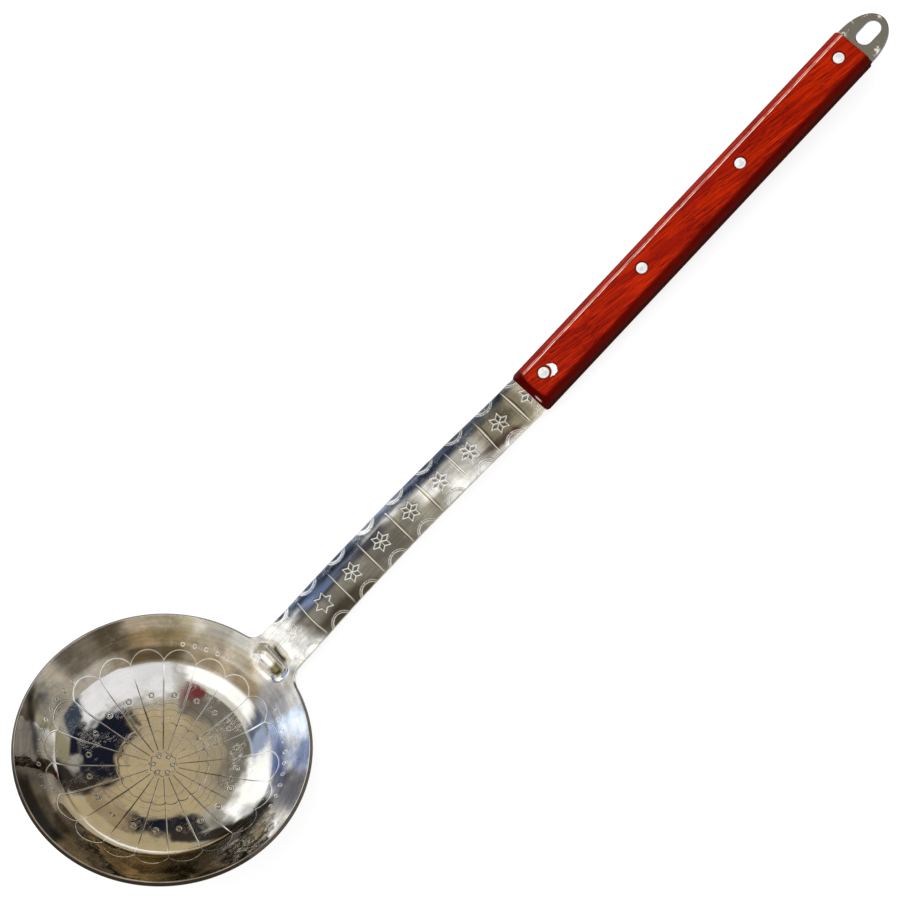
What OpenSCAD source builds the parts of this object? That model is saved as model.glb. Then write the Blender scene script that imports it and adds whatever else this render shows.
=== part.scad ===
// Soup ladle: one steel pressing with a shallow round bowl, an arched neck and a full tang
// between two wooden scales, held by four peened rivets, and a hang tab with a slot.
// The shapes are drawn with the tang level: X runs to the tail, Z=0 is the top face of the tang
// and X=0 the front end of the wood. The last step sets the ladle down on its bowl.

/* [Steel] */
// Thickness of the pressed steel
sheet_t = 2; // [1.2:0.1:2.4]
// Width of the tang, flush with the wood
tang_w = 18.5; // [16:0.5:22]

/* [Bowl] */
// Outer diameter across the lip
bowl_d = 114.2; // [100:1:130]
// Diameter of the gently dished bottom
dish_d = 66; // [50:1:72]
// Radius of the dished bottom
dish_r = 170; // [140:5:260]
// Radius of the bend from bottom to wall
bend_in_r = 22; // [16:1:28]
// Slope of the wall
wall_angle = 37.5; // [32:0.5:44]
// Lean of the bowl towards the handle
bowl_tilt = 27.3; // [22:0.5:32]

/* [Neck] */
// Width of the neck at the wood
neck_w_tail = 19; // [18:0.5:22]
// Width of the neck near the bowl
neck_w_bowl = 20.4; // [19:0.5:24]
// Height of the dome across the neck
neck_crown = 0.8; // [0.2:0.1:1.4]
// Length of the upward bend in front of the wood
rise_len = 7; // [5:0.5:12]
// Angle at which the neck leaves the wood
rise_angle = 10; // [6:0.5:12]
// Length of the arched neck
arch_len = 133; // [110:1:150]
// Angle of the neck below level where it meets the bowl
fall_angle = 5; // [2:0.5:7]
// Radius of the corner between neck and lip
corner_r = 6; // [3:0.5:8]

/* [Dimple] */
// Radius of the stiffening dimple
dimple_r = 6; // [5:0.5:8]
// Length between the round ends of the dimple
dimple_len = 8; // [5:0.5:11]
// Depth of the dimple
dimple_deep = 1.8; // [1:0.1:2.2]

/* [Wooden scales] */
// Length of the scales
scale_len = 184.3; // [150:1:210]
// Thickness of each scale
scale_t = 4.8; // [4:0.1:7]
// Radius of the rounded long edges
edge_r = 3.6; // [2:0.1:3.8]
// Slope length of the front end
front_slope = 2.9; // [1:0.1:4]
// Rounding of the tail end
tail_r = 1.2; // [0.5:0.1:2]

/* [Rivets] */
// Distance from the front of the wood to the first rivet
rivet_first = 9.9; // [8:0.1:14]
// Distance from the last rivet to the tail of the wood
rivet_last = 7.9; // [7:0.1:14]
// Diameter of the rivet shank
shank_d = 4; // [3:0.1:4.2]
// Diameter of the peened head
head_d = 4.6; // [4.4:0.1:5.6]
// Height of the peened head
head_h = 1.1; // [0.8:0.1:1.8]
// Depth of the head below the wood
head_sunk = 0.15; // [0:0.05:0.3]
// Radial clearance around the shank
shank_clear = 0.05; // [0.03:0.01:0.15]
// Radial clearance around the head
head_clear = 0.15; // [0.05:0.01:0.3]

/* [Hang tab] */
// Length of the tab behind the wood
tab_len = 16.4; // [14:0.1:24]
// Width of the hanging slot
slot_w = 6.7; // [5:0.1:8]
// Length of the hanging slot
slot_len = 11.2; // [9:0.1:14]
// Steel left between the slot and the tip
slot_rim = 2.7; // [2:0.1:4]
// Fullness of the nose of the tab
tab_fullness = 2.4; // [2:0.1:3]

/* [Hidden] */
$fn = 64;
DEG = 180 / PI;
// One rivet for each of their nodes
RIVETS = 4;
// How far a cutting shape runs past the face that it cuts
OVER = 1;
// Overlap of the tang with the neck in front of it
LAP = 0.01;
// Straight pieces that stand for the arcs of dish, bend, long edge and tail, and for half the nose
DISH_STEPS = 8;
BEND_STEPS = 6;
EDGE_STEPS = 8;
TAIL_STEPS = 4;
NOSE_STEPS = 16;

// Bowl profile, with its height measured down from the lip
dish_slope = asin(dish_d / 2 / dish_r);
bend_centre_r = dish_d / 2 - bend_in_r * sin(dish_slope);
wall_start_r = bend_centre_r + bend_in_r * sin(wall_angle);
lip_in_r = bowl_d / 2 - sheet_t * sin(wall_angle);
dish_rise = dish_r * (1 - cos(dish_slope));
bend_rise = bend_in_r * (cos(dish_slope) - cos(wall_angle));
bowl_depth = dish_rise + bend_rise + (lip_in_r - wall_start_r) * tan(wall_angle);
bend_centre_z = dish_rise + bend_in_r * cos(dish_slope) - bowl_depth;

// Slope of the wall where the neck comes in, and the length over which the neck turns to it
wall_fall = wall_angle - bowl_tilt;
lip_len = 3;
// The neck's sheet runs on inside the wall's sheet, thinner by this much on both faces
tuck_len = 7;
tuck_sunk = 0.35;
// Neck path: each entry is the length of a stretch and how far it turns, in degrees
NECK = [[rise_len, rise_angle], [arch_len, -rise_angle - fall_angle], [lip_len, fall_angle - wall_fall],
        [tuck_len, 0]];
neck_len = rise_len + arch_len + lip_len;
// The dome grows from the flat tang over this length
crown_len = 2 * rise_len;
// The domed strip flows into the cone of the wall over this length
blend_len = 16;
// The round corners run past the lip, onto the wall
corner_past = 0.3 * corner_r;
corner_from = neck_len + corner_past - corner_r;
// The middle of the dimple lies this far inside the lip
dimple_in = dimple_r / 3;

// Place of the lip and of the bowl's middle
lip = neck_at(neck_len);
bowl_x = lip[0] - lip_in_r * cos(bowl_tilt);
bowl_z = lip[1] + lip_in_r * sin(bowl_tilt);

// Wood, rivets and tab
rivet_pitch = (scale_len - rivet_first - rivet_last) / (RIVETS - 1);
tail_x = scale_len + tab_len;
slot_x = tail_x - slot_rim - slot_len / 2;

// Rest on a table: the lower scale's front edge and the bend of the bowl both touch it
foot = [front_slope, -sheet_t - scale_t];
bend_c = [bowl_x + bend_centre_r * cos(bowl_tilt) + bend_centre_z * sin(bowl_tilt),
          bowl_z - bend_centre_r * sin(bowl_tilt) + bend_centre_z * cos(bowl_tilt)];
foot_to_bend = norm(bend_c - foot);
rest_angle = atan2(bend_c[1] - foot[1], foot[0] - bend_c[0])
    - asin((bend_in_r + sheet_t) / foot_to_bend);
far_tilt = bowl_tilt - rest_angle;
bowl_mid_x = bowl_x * cos(rest_angle) - bowl_z * sin(rest_angle);
rest_min_x = bowl_mid_x - bowl_d / 2 * cos(far_tilt) - sheet_t * cos(wall_angle) * sin(far_tilt);
rest_max_x = tail_x * cos(rest_angle) + sheet_t * sin(rest_angle);
rest_shift = [-(rest_min_x + rest_max_x) / 2, 0,
              -foot[0] * sin(rest_angle) - foot[1] * cos(rest_angle)];

// Turn a flat list of stretches into the point and heading at a length along it
function walk(list, s, i = 0, p = [0, 0], a = 0) =
    let (len = min(s, list[i][0]), turn = list[i][1] * len / list[i][0], mid = a + turn / 2,
         chord = turn == 0 ? len : len * sin(turn / 2) / (turn / 2 / DEG),
         q = p + chord * [-cos(mid), sin(mid)])
    s <= list[i][0] || i == len(list) - 1 ? [q[0], q[1], a + turn]
        : walk(list, s - list[i][0], i + 1, q, a + turn);
function neck_at(s) = walk(NECK, s);
function smooth(t) = let (c = min(1, max(0, t))) c * c * (3 - 2 * c);
function mix(a, b, t) = a * (1 - t) + b * t;

// Half the width of the neck, with the round corner where it spreads into the lip
function neck_half(s) =
    let (base = mix(neck_w_tail, neck_w_bowl, min(1, s / arch_len)) / 2,
         near = min(corner_r, max(0, s - corner_from)))
    base + corner_r - sqrt(corner_r * corner_r - near * near);

// A point of the neck's sheet: s along, side -1 to 1 across, deep below the top face
function neck_point(s, side, deep) =
    let (p = neck_at(s), y = side * neck_half(s),
         crown = neck_crown * smooth(s / crown_len) * side * side,
         n = [sin(p[2]), cos(p[2])])
    [p[0] + n[0] * (-crown - deep), y, p[1] + n[1] * (-crown - deep)];

// The same point on the bowl's wall, carried on as a cone beyond the lip
function wall_point(s, side, deep) =
    let (y = side * neck_half(s), out = lip_in_r + (neck_len - s) * cos(wall_angle),
         r = norm([out, y]), drop = (lip_in_r - r) * tan(wall_angle) + deep / cos(wall_angle))
    [bowl_x + out * cos(bowl_tilt) - drop * sin(bowl_tilt), y,
     bowl_z - out * sin(bowl_tilt) - drop * cos(bowl_tilt)];

// Neck sheet point, flowing from the domed strip into the wall of the bowl
function sheet_point(s, side, lower) =
    let (tuck = smooth((s - neck_len + lip_len) / lip_len) * tuck_sunk,
         deep = lower ? sheet_t - tuck : tuck)
    mix(neck_point(s, side, deep), wall_point(s, side, deep),
        smooth((s - neck_len + blend_len) / blend_len));

// Stations along the neck, close together at the bends: from, to and steps of each run
RUNS = [[0, rise_len, 4], [rise_len, rise_len + arch_len - blend_len, 9],
        [rise_len + arch_len - blend_len, neck_len, 12], [neck_len, neck_len + tuck_len, 3]];
NECK_STOPS = concat([0], [for (run = RUNS) for (i = [1:run[2]]) mix(run[0], run[1], i / run[2])]);
// Places across the sheet, from one edge to the other
ACROSS = [for (i = [-5:5]) i / 5];

// Closed sweep of one ring of points per station
module neck_sheet() {
    ring = concat([for (a = ACROSS) [a, false]], [for (a = ACROSS) [-a, true]]);
    k = len(ring);
    n = len(NECK_STOPS);
    points = [for (s = NECK_STOPS) for (r = ring) sheet_point(s, r[0], r[1])];
    sides = [for (i = [0:n - 2]) for (j = [0:k - 1]) let (a = i * k + j, b = i * k + (j + 1) % k)
        each [[a, a + k, b + k], [a, b + k, b]]];
    caps = [for (j = [0:k / 2 - 2]) let (a = j, b = j + 1, c = k - 2 - j, d = k - 1 - j, e = (n - 1) * k)
        each [[a, b, c], [a, c, d], [e + c, e + b, e + a], [e + d, e + c, e + a]]];
    polyhedron(points, concat(sides, caps), convexity = 6);
}

// Points along an arc about [x, y], from angle a to angle b
function arc(x, y, r, a, b, steps) =
    [for (i = [0:steps]) let (t = mix(a, b, i / steps)) [x + r * cos(t), y + r * sin(t)]];

// Half section of the bowl's sheet, offset out from its inside by deep
function bowl_line(deep) =
    concat(arc(0, dish_r - bowl_depth, dish_r + deep, -90, -90 + dish_slope, DISH_STEPS),
           arc(bend_centre_r, bend_centre_z, bend_in_r + deep, -90 + dish_slope, -90 + wall_angle,
               BEND_STEPS),
           [[lip_in_r + deep * sin(wall_angle), -deep * cos(wall_angle)]]);

module bowl() {
    inside = bowl_line(0);
    outside = bowl_line(sheet_t);
    translate([bowl_x, 0, bowl_z]) rotate([0, bowl_tilt, 0]) rotate([0, 0, 180])
        rotate_extrude($fn = 128) polygon(concat(inside, [for (i = [len(outside) - 1:-1:0]) outside[i]]));
}

// Long pill lying across the handle, for the dimple and the bulge under it
module pill(r) {
    rotate([90, 0, 0]) cylinder(r = r, h = dimple_len, center = true);
    for (y = [-1, 1]) translate([0, y * dimple_len / 2, 0]) sphere(r);
}

// Place and lean of the dimple, just inside the lip
module at_dimple() translate([lip[0] - dimple_in, 0, lip[1]]) rotate([0, -wall_fall, 0]) children();

// The bulge that the dimple raises on the underside, cut off at the middle of the sheet
module dimple_bulge() at_dimple() intersection() {
    translate([0, 0, dimple_r - dimple_deep]) pill(dimple_r + sheet_t);
    translate([0, 0, -dimple_r - sheet_t / 2])
        cube([4 * dimple_r, 2 * dimple_len + 4 * dimple_r, 2 * dimple_r], center = true);
}

module dimple_hollow() at_dimple() translate([0, 0, dimple_r - dimple_deep]) pill(dimple_r);

// Flat tang with the rounded nose of the hang tab
module tang() {
    nose = [for (i = [0:NOSE_STEPS - 1]) let (x = sin(90 * i / NOSE_STEPS))
        [scale_len + tab_len * x, tang_w / 2 * sqrt(1 - pow(x, tab_fullness))]];
    half = concat([[-LAP, tang_w / 2]], nose);
    translate([0, 0, -sheet_t]) linear_extrude(sheet_t)
        polygon(concat(half, [[tail_x, 0]], [for (i = [len(half) - 1:-1:0]) [half[i][0], -half[i][1]]]));
}

module slot() {
    straight = slot_len - slot_w;
    for (x = [-1, 1]) translate([slot_x + x * straight / 2, 0, -sheet_t - OVER])
        cylinder(d = slot_w, h = sheet_t + 2 * OVER);
    translate([slot_x, 0, -sheet_t / 2]) cube([straight, slot_w, sheet_t + 2 * OVER], center = true);
}

// Every rivet's place along the handle
module at_rivets() for (i = [0:RIVETS - 1]) translate([rivet_first + i * rivet_pitch, 0, 0]) children();

// Bore for the shank through wood and steel
module shank_bore() translate([0, 0, -sheet_t - scale_t - OVER])
    cylinder(d = shank_d + 2 * shank_clear, h = sheet_t + 2 * scale_t + 2 * OVER);

// Seat for a peened head, sunk into the wood
module head_seat() translate([0, 0, scale_t - head_sunk - head_h])
    cylinder(d = head_d + 2 * head_clear, h = head_h + OVER);

// Sets what is drawn with the tang level down on the table
module as_at_rest() translate(rest_shift) rotate([0, -rest_angle, 0]) children();

module ladle_steel() color([0.74, 0.73, 0.69]) as_at_rest() difference() {
    union() {
        bowl();
        neck_sheet();
        dimple_bulge();
        tang();
    }
    dimple_hollow();
    slot();
    at_rivets() shank_bore();
}

// One scale above the tang: rounded long edges, a sloping front and a softened tail
module scale() {
    side = concat([[tang_w / 2, 0]],
                  arc(tang_w / 2 - edge_r, scale_t - edge_r, edge_r, 0, 90, EDGE_STEPS));
    tail = arc(scale_len - tail_r, scale_t - tail_r, tail_r, 90, 0, TAIL_STEPS);
    difference() {
        intersection() {
            rotate([90, 0, 90]) linear_extrude(scale_len)
                polygon(concat(side, [for (i = [len(side) - 1:-1:0]) [-side[i][0], side[i][1]]]));
            rotate([90, 0, 0]) linear_extrude(tang_w + 2 * OVER, center = true)
                polygon(concat([[0, 0], [front_slope, scale_t]], tail, [[scale_len, 0]]));
        }
        at_rivets() {
            shank_bore();
            head_seat();
        }
    }
}

module top_scale() color([0.62, 0.09, 0.03]) as_at_rest() scale();
module bottom_scale() color([0.55, 0.08, 0.03]) as_at_rest()
    translate([0, 0, -sheet_t]) mirror([0, 0, 1]) scale();

// Solid rivet with a peened head at each end, a little below the wood
module rivet(i) color([0.86, 0.87, 0.87]) as_at_rest() translate([rivet_first + i * rivet_pitch, 0, 0]) {
    // Height of the head's face above the tang
    top = scale_t - head_sunk;
    translate([0, 0, -sheet_t - top]) cylinder(d = shank_d, h = sheet_t + 2 * top);
    for (z = [top - head_h, -sheet_t - top]) translate([0, 0, z]) cylinder(d = head_d, h = head_h);
}

ladle_steel();
top_scale();
bottom_scale();
rivet(0);  // rivet_1
rivet(1);  // rivet_2
rivet(2);  // rivet_3
rivet(3);  // rivet_4
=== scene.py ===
"""Soup ladle with a riveted wooden grip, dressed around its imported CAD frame."""

import logging
import math
from dataclasses import dataclass
from enum import Enum
from typing import Callable, Sequence

import bpy
import numpy as np
from mathutils import Matrix, Quaternion, Vector


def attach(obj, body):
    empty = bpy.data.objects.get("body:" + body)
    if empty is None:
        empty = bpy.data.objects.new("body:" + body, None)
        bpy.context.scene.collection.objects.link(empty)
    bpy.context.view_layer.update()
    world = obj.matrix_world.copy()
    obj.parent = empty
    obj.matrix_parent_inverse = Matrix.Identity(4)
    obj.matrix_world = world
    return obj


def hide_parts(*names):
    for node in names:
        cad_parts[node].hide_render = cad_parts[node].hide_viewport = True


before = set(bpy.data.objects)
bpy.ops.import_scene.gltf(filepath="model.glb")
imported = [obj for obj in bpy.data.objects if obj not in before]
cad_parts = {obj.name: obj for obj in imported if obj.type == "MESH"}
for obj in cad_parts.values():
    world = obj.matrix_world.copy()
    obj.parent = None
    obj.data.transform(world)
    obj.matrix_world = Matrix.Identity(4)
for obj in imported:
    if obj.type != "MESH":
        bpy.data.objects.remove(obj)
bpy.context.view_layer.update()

Array = np.ndarray
Pair = tuple[float, float]
Rgb = tuple[float, float, float]
Place = tuple[int, int]
Piece = bpy.types.Object
Socket = bpy.types.NodeSocket
Plug = Socket | float | Sequence[float]

LOG = logging.getLogger("soup_ladle")
MM = 0.001
BODY = "root"
FAR = 9.0
NEAR = 0.1
TOUCH = 0.01
FAINT = 0.06


def smooth_step(t: Array) -> Array:
    """Soft step from 0 to 1 as t runs from 0 to 1."""
    c = np.clip(t, 0.0, 1.0)
    return c * c * (3.0 - 2.0 * c)


def bell(x: Array, width: float | Array) -> Array:
    """Bell curve of height 1 that falls to 1/e at x = width."""
    return np.exp(-((x / width) ** 2))


def unit(v: Array) -> Array:
    """Rows of v at length 1."""
    return v / np.maximum(np.linalg.norm(v, axis=1, keepdims=True), 1e-12)


def from_segment(x: Array, y: Array, start: Pair, end: Pair) -> Array:
    """Distance of points in a plan from a straight line between two ends."""
    run_x, run_y = end[0] - start[0], end[1] - start[1]
    share = ((x - start[0]) * run_x + (y - start[1]) * run_y) / (run_x**2 + run_y**2)
    t = np.clip(share, 0.0, 1.0)
    return np.hypot(x - start[0] - t * run_x, y - start[1] - t * run_y)


# Sizes shared by the pieces, in millimetres, with the tang level


@dataclass(frozen=True)
class RestPose:
    """How the level handle is set down on the table."""

    angle: float = math.radians(2.53239)
    shift_x: float = 22.6097
    shift_z: float = 6.66523

    def turn(self, directions: Array) -> Array:
        """Directions of the level handle, turned with it onto the table."""
        c, s = math.cos(self.angle), math.sin(self.angle)
        x, y, z = directions[:, 0], directions[:, 1], directions[:, 2]
        return np.stack([x * c - z * s, y, x * s + z * c], axis=1)

    def place(self, points: Array) -> Array:
        """Points of the level handle, in mm, as points on the table in metres."""
        return (self.turn(points) + np.array([self.shift_x, 0.0, self.shift_z])) * MM

    def matrix(self) -> Matrix:
        """The same move as a matrix, for meshes drawn in mm with the tang level."""
        shift = Matrix.Translation((self.shift_x, 0.0, self.shift_z))
        return Matrix.Scale(MM, 4) @ shift @ Matrix.Rotation(-self.angle, 4, "Y")


REST = RestPose()


@dataclass(frozen=True)
class Stretch:
    """One stretch of the neck's path: its length and how far it turns."""

    length: float
    turn: float


@dataclass(frozen=True)
class Bowl:
    """Inside of the bowl, as a height under the plane of its lip."""

    lip_r: float = 55.8825
    dish_edge: float = 33.0
    dish_r: float = 170.0
    bend_r: float = 22.0
    wall: float = math.radians(37.5)
    tilt: float = math.radians(27.3)
    centre_x: float = -192.09
    centre_z: float = 31.628
    depth: float = 17.9201

    def height(self, r: Array) -> Array:
        """Height of the inside at radius r: dish, bend and conical wall."""
        lean = math.asin(self.dish_edge / self.dish_r)
        bend_at = self.dish_edge - self.bend_r * math.sin(lean)
        wall_at = bend_at + self.bend_r * math.sin(self.wall)
        rise = self.dish_r * (1.0 - math.cos(lean))
        dish = -self.depth + self.dish_r - np.sqrt(self.dish_r**2 - np.minimum(r, self.dish_edge) ** 2)
        near = np.clip(r - bend_at, 0.0, self.bend_r * math.sin(self.wall))
        bend = -self.depth + rise + self.bend_r * math.cos(lean) - np.sqrt(self.bend_r**2 - near**2)
        cone = (r - self.lip_r) * math.tan(self.wall)
        return np.where(r <= self.dish_edge, dish, np.where(r <= wall_at, bend, cone))

    def place(self, out: Array, y: Array, height: Array) -> Array:
        """Points of the bowl's own plan, out towards the handle, as x, y, z of the level handle."""
        c, s = math.cos(self.tilt), math.sin(self.tilt)
        return np.stack(
            [self.centre_x + out * c + height * s, y, self.centre_z - out * s + height * c], axis=1
        )


@dataclass(frozen=True)
class Neck:
    """Top face of the neck and of the flat tang behind it."""

    stretches: tuple[Stretch, ...] = (
        Stretch(7.0, math.radians(10.0)),
        Stretch(133.0, math.radians(-15.0)),
        Stretch(3.0, math.radians(-5.2)),
        Stretch(20.0, 0.0),
    )
    length: float = 143.0
    width_tail: float = 19.0
    width_bowl: float = 20.4
    widen_over: float = 133.0
    tang_width: float = 18.5
    step_over: float = 3.0
    crown: float = 0.8
    crown_over: float = 14.0
    crown_to: float = 1.4
    blend: float = 16.0

    def path(self, s: Array) -> tuple[Array, Array, Array]:
        """Walks the middle line.

        Args:
            s: Lengths from the front of the wood towards the bowl; below 0 they run under the wood.

        Returns:
            x, z and the upward heading, in radians, at each length.
        """
        x = np.where(s < 0.0, -s, 0.0)
        z = np.zeros_like(s)
        heading = np.zeros_like(s)
        left = np.maximum(s, 0.0)
        for part in self.stretches:
            run = np.minimum(left, part.length)
            turn = part.turn * run / part.length
            chord = run * np.sinc(turn / (2.0 * math.pi))
            x = x - chord * np.cos(heading + turn / 2.0)
            z = z + chord * np.sin(heading + turn / 2.0)
            heading = heading + turn
            left = left - run
        return x, z, heading

    def half_width(self, s: Array) -> Array:
        """Half the width of the strip at s, without its round corners."""
        widened = (self.width_bowl - self.width_tail) * np.clip(s / self.widen_over, 0.0, 1.0)
        strip = self.width_tail + widened
        return (self.tang_width + (strip - self.tang_width) * smooth_step(s / self.step_over)) / 2.0

    def strip(self, s: Array, y: Array) -> Array:
        """Points of the domed strip at s along and y across."""
        x, z, heading = self.path(s)
        side = np.clip(y / self.half_width(s), -self.crown_to, self.crown_to)
        drop = self.crown * smooth_step(s / self.crown_over) * side**2
        return np.stack([x - np.sin(heading) * drop, y, z - np.cos(heading) * drop], axis=1)


BOWL = Bowl()
NECK = Neck()


@dataclass(frozen=True)
class Dimple:
    """Stiffening dimple pressed where the neck flows into the wall, with a crease in front of it."""

    at: float = 145.0
    radius: float = 6.0
    length: float = 8.0
    deep: float = 1.8
    brim: float = 0.7
    crease_at: float = 139.4
    crease_deep: float = 0.2
    crease_width: float = 0.8
    crease_half: float = 5.0

    def depth(self, s: Array, y: Array) -> Array:
        """Depth of dimple and crease under the plain sheet."""
        away = np.hypot(s - self.at, np.maximum(np.abs(y) - self.length / 2.0, 0.0))
        sag = np.sqrt(np.maximum(self.radius**2 - away**2, 0.0)) - (self.radius - self.deep)
        hollow = self.brim * np.logaddexp(0.0, sag / self.brim * 2.0) / 2.0
        crease = bell(s - self.crease_at, self.crease_width) * bell(y, self.crease_half)
        return hollow + self.crease_deep * crease


DIMPLE = Dimple()


@dataclass(frozen=True)
class RivetRow:
    """Sizes of the four rivets and of their seats, and their places along the grip."""

    count: int = 4
    first: float = 9.9
    pitch: float = 55.5
    shank_d: float = 4.0
    head_d: float = 4.6
    head_top: float = 4.65
    head_high: float = 1.1
    bore_d: float = 4.1
    seat_d: float = 4.9

    def places(self) -> list[float]:
        """Distances of the rivets from the front of the wood."""
        return [self.first + i * self.pitch for i in range(self.count)]


RIVETS = RivetRow()
SHEET = 2.0
PLAIN_STEP = 0.05
CUT_STEP = 0.03


class Chart(Enum):
    """Which plan a vertex of the pressing is drawn in."""

    BOWL = "out and across, from the middle of the bowl"
    NECK = "along and across, from the front of the wood"


def along_from_out(out: Array) -> Array:
    """Length along the neck of a point of the bowl's wall at out."""
    return NECK.length + (BOWL.lip_r - out) / math.cos(BOWL.wall)


def out_from_along(s: Array) -> Array:
    """The opposite of along_from_out."""
    return BOWL.lip_r + (NECK.length - s) * math.cos(BOWL.wall)


def plain_sheet(chart: Chart, a: Array, b: Array) -> Array:
    """Top face of the pressing without dimple or ornament.

    Args:
        chart: Plan that a and b are read in.
        a: out in the bowl's plan, or along in the neck's.
        b: across in both plans.

    Returns:
        N rows of x, y, z of the level handle, in mm.
    """
    out = a if chart is Chart.BOWL else out_from_along(a)
    wall = BOWL.place(out, b, BOWL.height(np.hypot(out, b)))
    if chart is Chart.BOWL:
        return wall
    share = smooth_step((a - NECK.length + NECK.blend) / NECK.blend)[:, None]
    return NECK.strip(a, b) * (1.0 - share) + wall * share


# Engraving and stamping


@dataclass(frozen=True)
class Graver:
    """The cut that one tool leaves: a round groove with a thin burr on both sides."""

    width: float = 0.11
    deep: float = 0.055
    burr: float = 0.2
    burr_at: float = 2.2
    thins: float = 0.0
    tint: float = 1.3

    def cut(self, away: Array, force: Array) -> Array:
        """Depth of a cut at a distance from its middle, struck with a share of the full force."""
        width = self.width * (1.0 - self.thins * (1.0 - force))
        return self.deep * force * (bell(away, width) - self.burr * bell(away - self.burr_at * width, width))


@dataclass(frozen=True)
class Cut:
    """All lines of one tool: how far each point lies from them, and how hard they are struck there."""

    tool: Graver
    away: Array
    force: Array | float = 1.0

    def depth(self) -> Array:
        """Depth of the lines at each point."""
        return self.tool.cut(np.abs(self.away), self.force)

    def reach(self) -> Array:
        """Distance from the lines, and far away where they aren't struck."""
        return np.where(np.asarray(self.force) > FAINT, np.abs(self.away), FAR)


@dataclass(frozen=True)
class BowlOrnament:
    """Flower of twenty petals engraved in the bowl, with small punched rings."""

    petals: int = 20
    phase: float = math.radians(15.3)
    drift_by: tuple[float, float, float] = (0.55, 1.7, 0.6)
    drift_turn: float = 0.96
    scatter: float = 12.9898
    groove_from: float = 6.2
    cusp_r: float = 41.5
    crest_r: float = 44.8
    inner_r: float = 16.6
    inner_bulge: float = 0.9
    petal_ring_at: float = 28.5
    petal_ring_r: float = 0.9
    rim_rings: int = 62
    rim_ring_at: float = 46.6
    rim_ring_r: float = 0.66
    rim_ring_sway: float = 0.3
    rim_ring_from: float = 44.0
    rim_fade: float = 6.0
    rim_clear: tuple[tuple[float, float, float], ...] = (
        (15.0, 48.0, 1.0), (287.0, 345.0, 1.0), (92.0, 162.0, 0.35),
    )
    heart_rings: int = 6
    heart_at: float = 3.7
    heart_ring_r: float = 0.85
    collar_r: float = 5.0
    collar_wave: float = 0.35
    graver: Graver = Graver(width=0.11, deep=0.042)
    punch: Graver = Graver(width=0.13, deep=0.08, burr=0.15)

    def drift(self, turn: Array) -> Array:
        """How far the hand-set grooves stray from an even spacing."""
        (even, once, twice), off = self.drift_by, turn - self.drift_turn
        return np.radians(even - once * np.cos(off) - twice * np.cos(2.0 * off))

    def cuts(self, out: Array, y: Array) -> list[Cut]:
        """Lines of the bowl.

        Args:
            out: Towards the handle, from the middle of the bowl.
            y: Across.

        Returns:
            The cuts of the graver and of the ring punch.
        """
        r = np.hypot(out, y)
        turn = np.arctan2(y, out)
        even = turn - self.phase - self.drift(turn)
        step = 2.0 * math.pi / self.petals
        local = even - np.round(even / step) * step
        petal = np.floor(even / step)
        middle = even - (petal + 0.5) * step
        wander = np.sin(petal * self.scatter) * 0.5
        beyond = np.maximum(self.groove_from - r, 0.0) + np.maximum(r - self.cusp_r, 0.0)
        ray = np.hypot(r * np.sin(local), beyond)
        arc = self._arc(r, middle, step, self.cusp_r + 0.35 * wander, self.crest_r + wander)
        inner = self._arc(r, middle, step, self.inner_r, self.inner_r + self.inner_bulge)
        heart = self._rings(r, even, self.heart_rings, self.heart_at, self.heart_ring_r)
        collar = np.abs(r - self.collar_r - self.collar_wave * np.cos(self.heart_rings * 2.0 * even))
        off_middle = r * np.sin(middle - 0.02 * wander)
        petal_rings = np.abs(np.hypot(r - self.petal_ring_at - 0.5 * wander, off_middle) - self.petal_ring_r)
        rim_at = self.rim_ring_at + self.rim_ring_sway * np.sin(3.0 * turn)
        rim = self._rings(r, turn, self.rim_rings, rim_at, self.rim_ring_r)
        rim_force = np.where(r > self.rim_ring_from, self._rim_force(np.degrees(turn) % 360.0), 0.0)
        return [
            Cut(self.graver, np.minimum(ray, arc)),
            Cut(self.graver, np.minimum(inner, collar), 0.7),
            Cut(self.punch, np.minimum(heart, petal_rings)),
            Cut(self.punch, rim, rim_force),
        ]

    def _rim_force(self, turn: Array) -> Array:
        """How clearly the rings under the rim are struck, by their turn in degrees."""
        force = np.zeros_like(turn)
        for low, high, share in self.rim_clear:
            rising = smooth_step((turn - low) / self.rim_fade)
            falling = smooth_step((high - turn) / self.rim_fade)
            force = np.maximum(force, share * rising * falling)
        return force

    def _arc(self, r: Array, middle: Array, step: float, cusp: Array | float, crest: Array | float) -> Array:
        """Distance from the arc that joins two grooves, bulging outwards."""
        half, low = cusp * math.sin(step / 2.0), cusp * math.cos(step / 2.0)
        rise = crest - low
        radius = (half**2 + rise**2) / (2.0 * rise)
        x, h = r * np.sin(middle), r * np.cos(middle)
        return np.where(h >= low - 0.2, np.abs(np.hypot(x, h - (crest - radius)) - radius), FAR)

    def _rings(self, r: Array, turn: Array, count: int, at: Array | float, radius: float) -> Array:
        """Distance from the nearest of a circle of punched rings."""
        step = 2.0 * math.pi / count
        local = turn - np.round(turn / step) * step
        return np.abs(np.hypot(r * np.cos(local) - at, r * np.sin(local)) - radius)


@dataclass(frozen=True)
class Stroke:
    """One chisel stroke across the neck: where it starts and ends, and how it strays."""

    low: float
    high: float
    force: float = 1.0
    lean: float = 0.0
    bow: float = 0.0


@dataclass(frozen=True)
class Crescent:
    """Crescents stamped over one edge of the neck."""

    outside: float
    radius: float
    band: float = 0.72
    bead: float = 0.47


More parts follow.
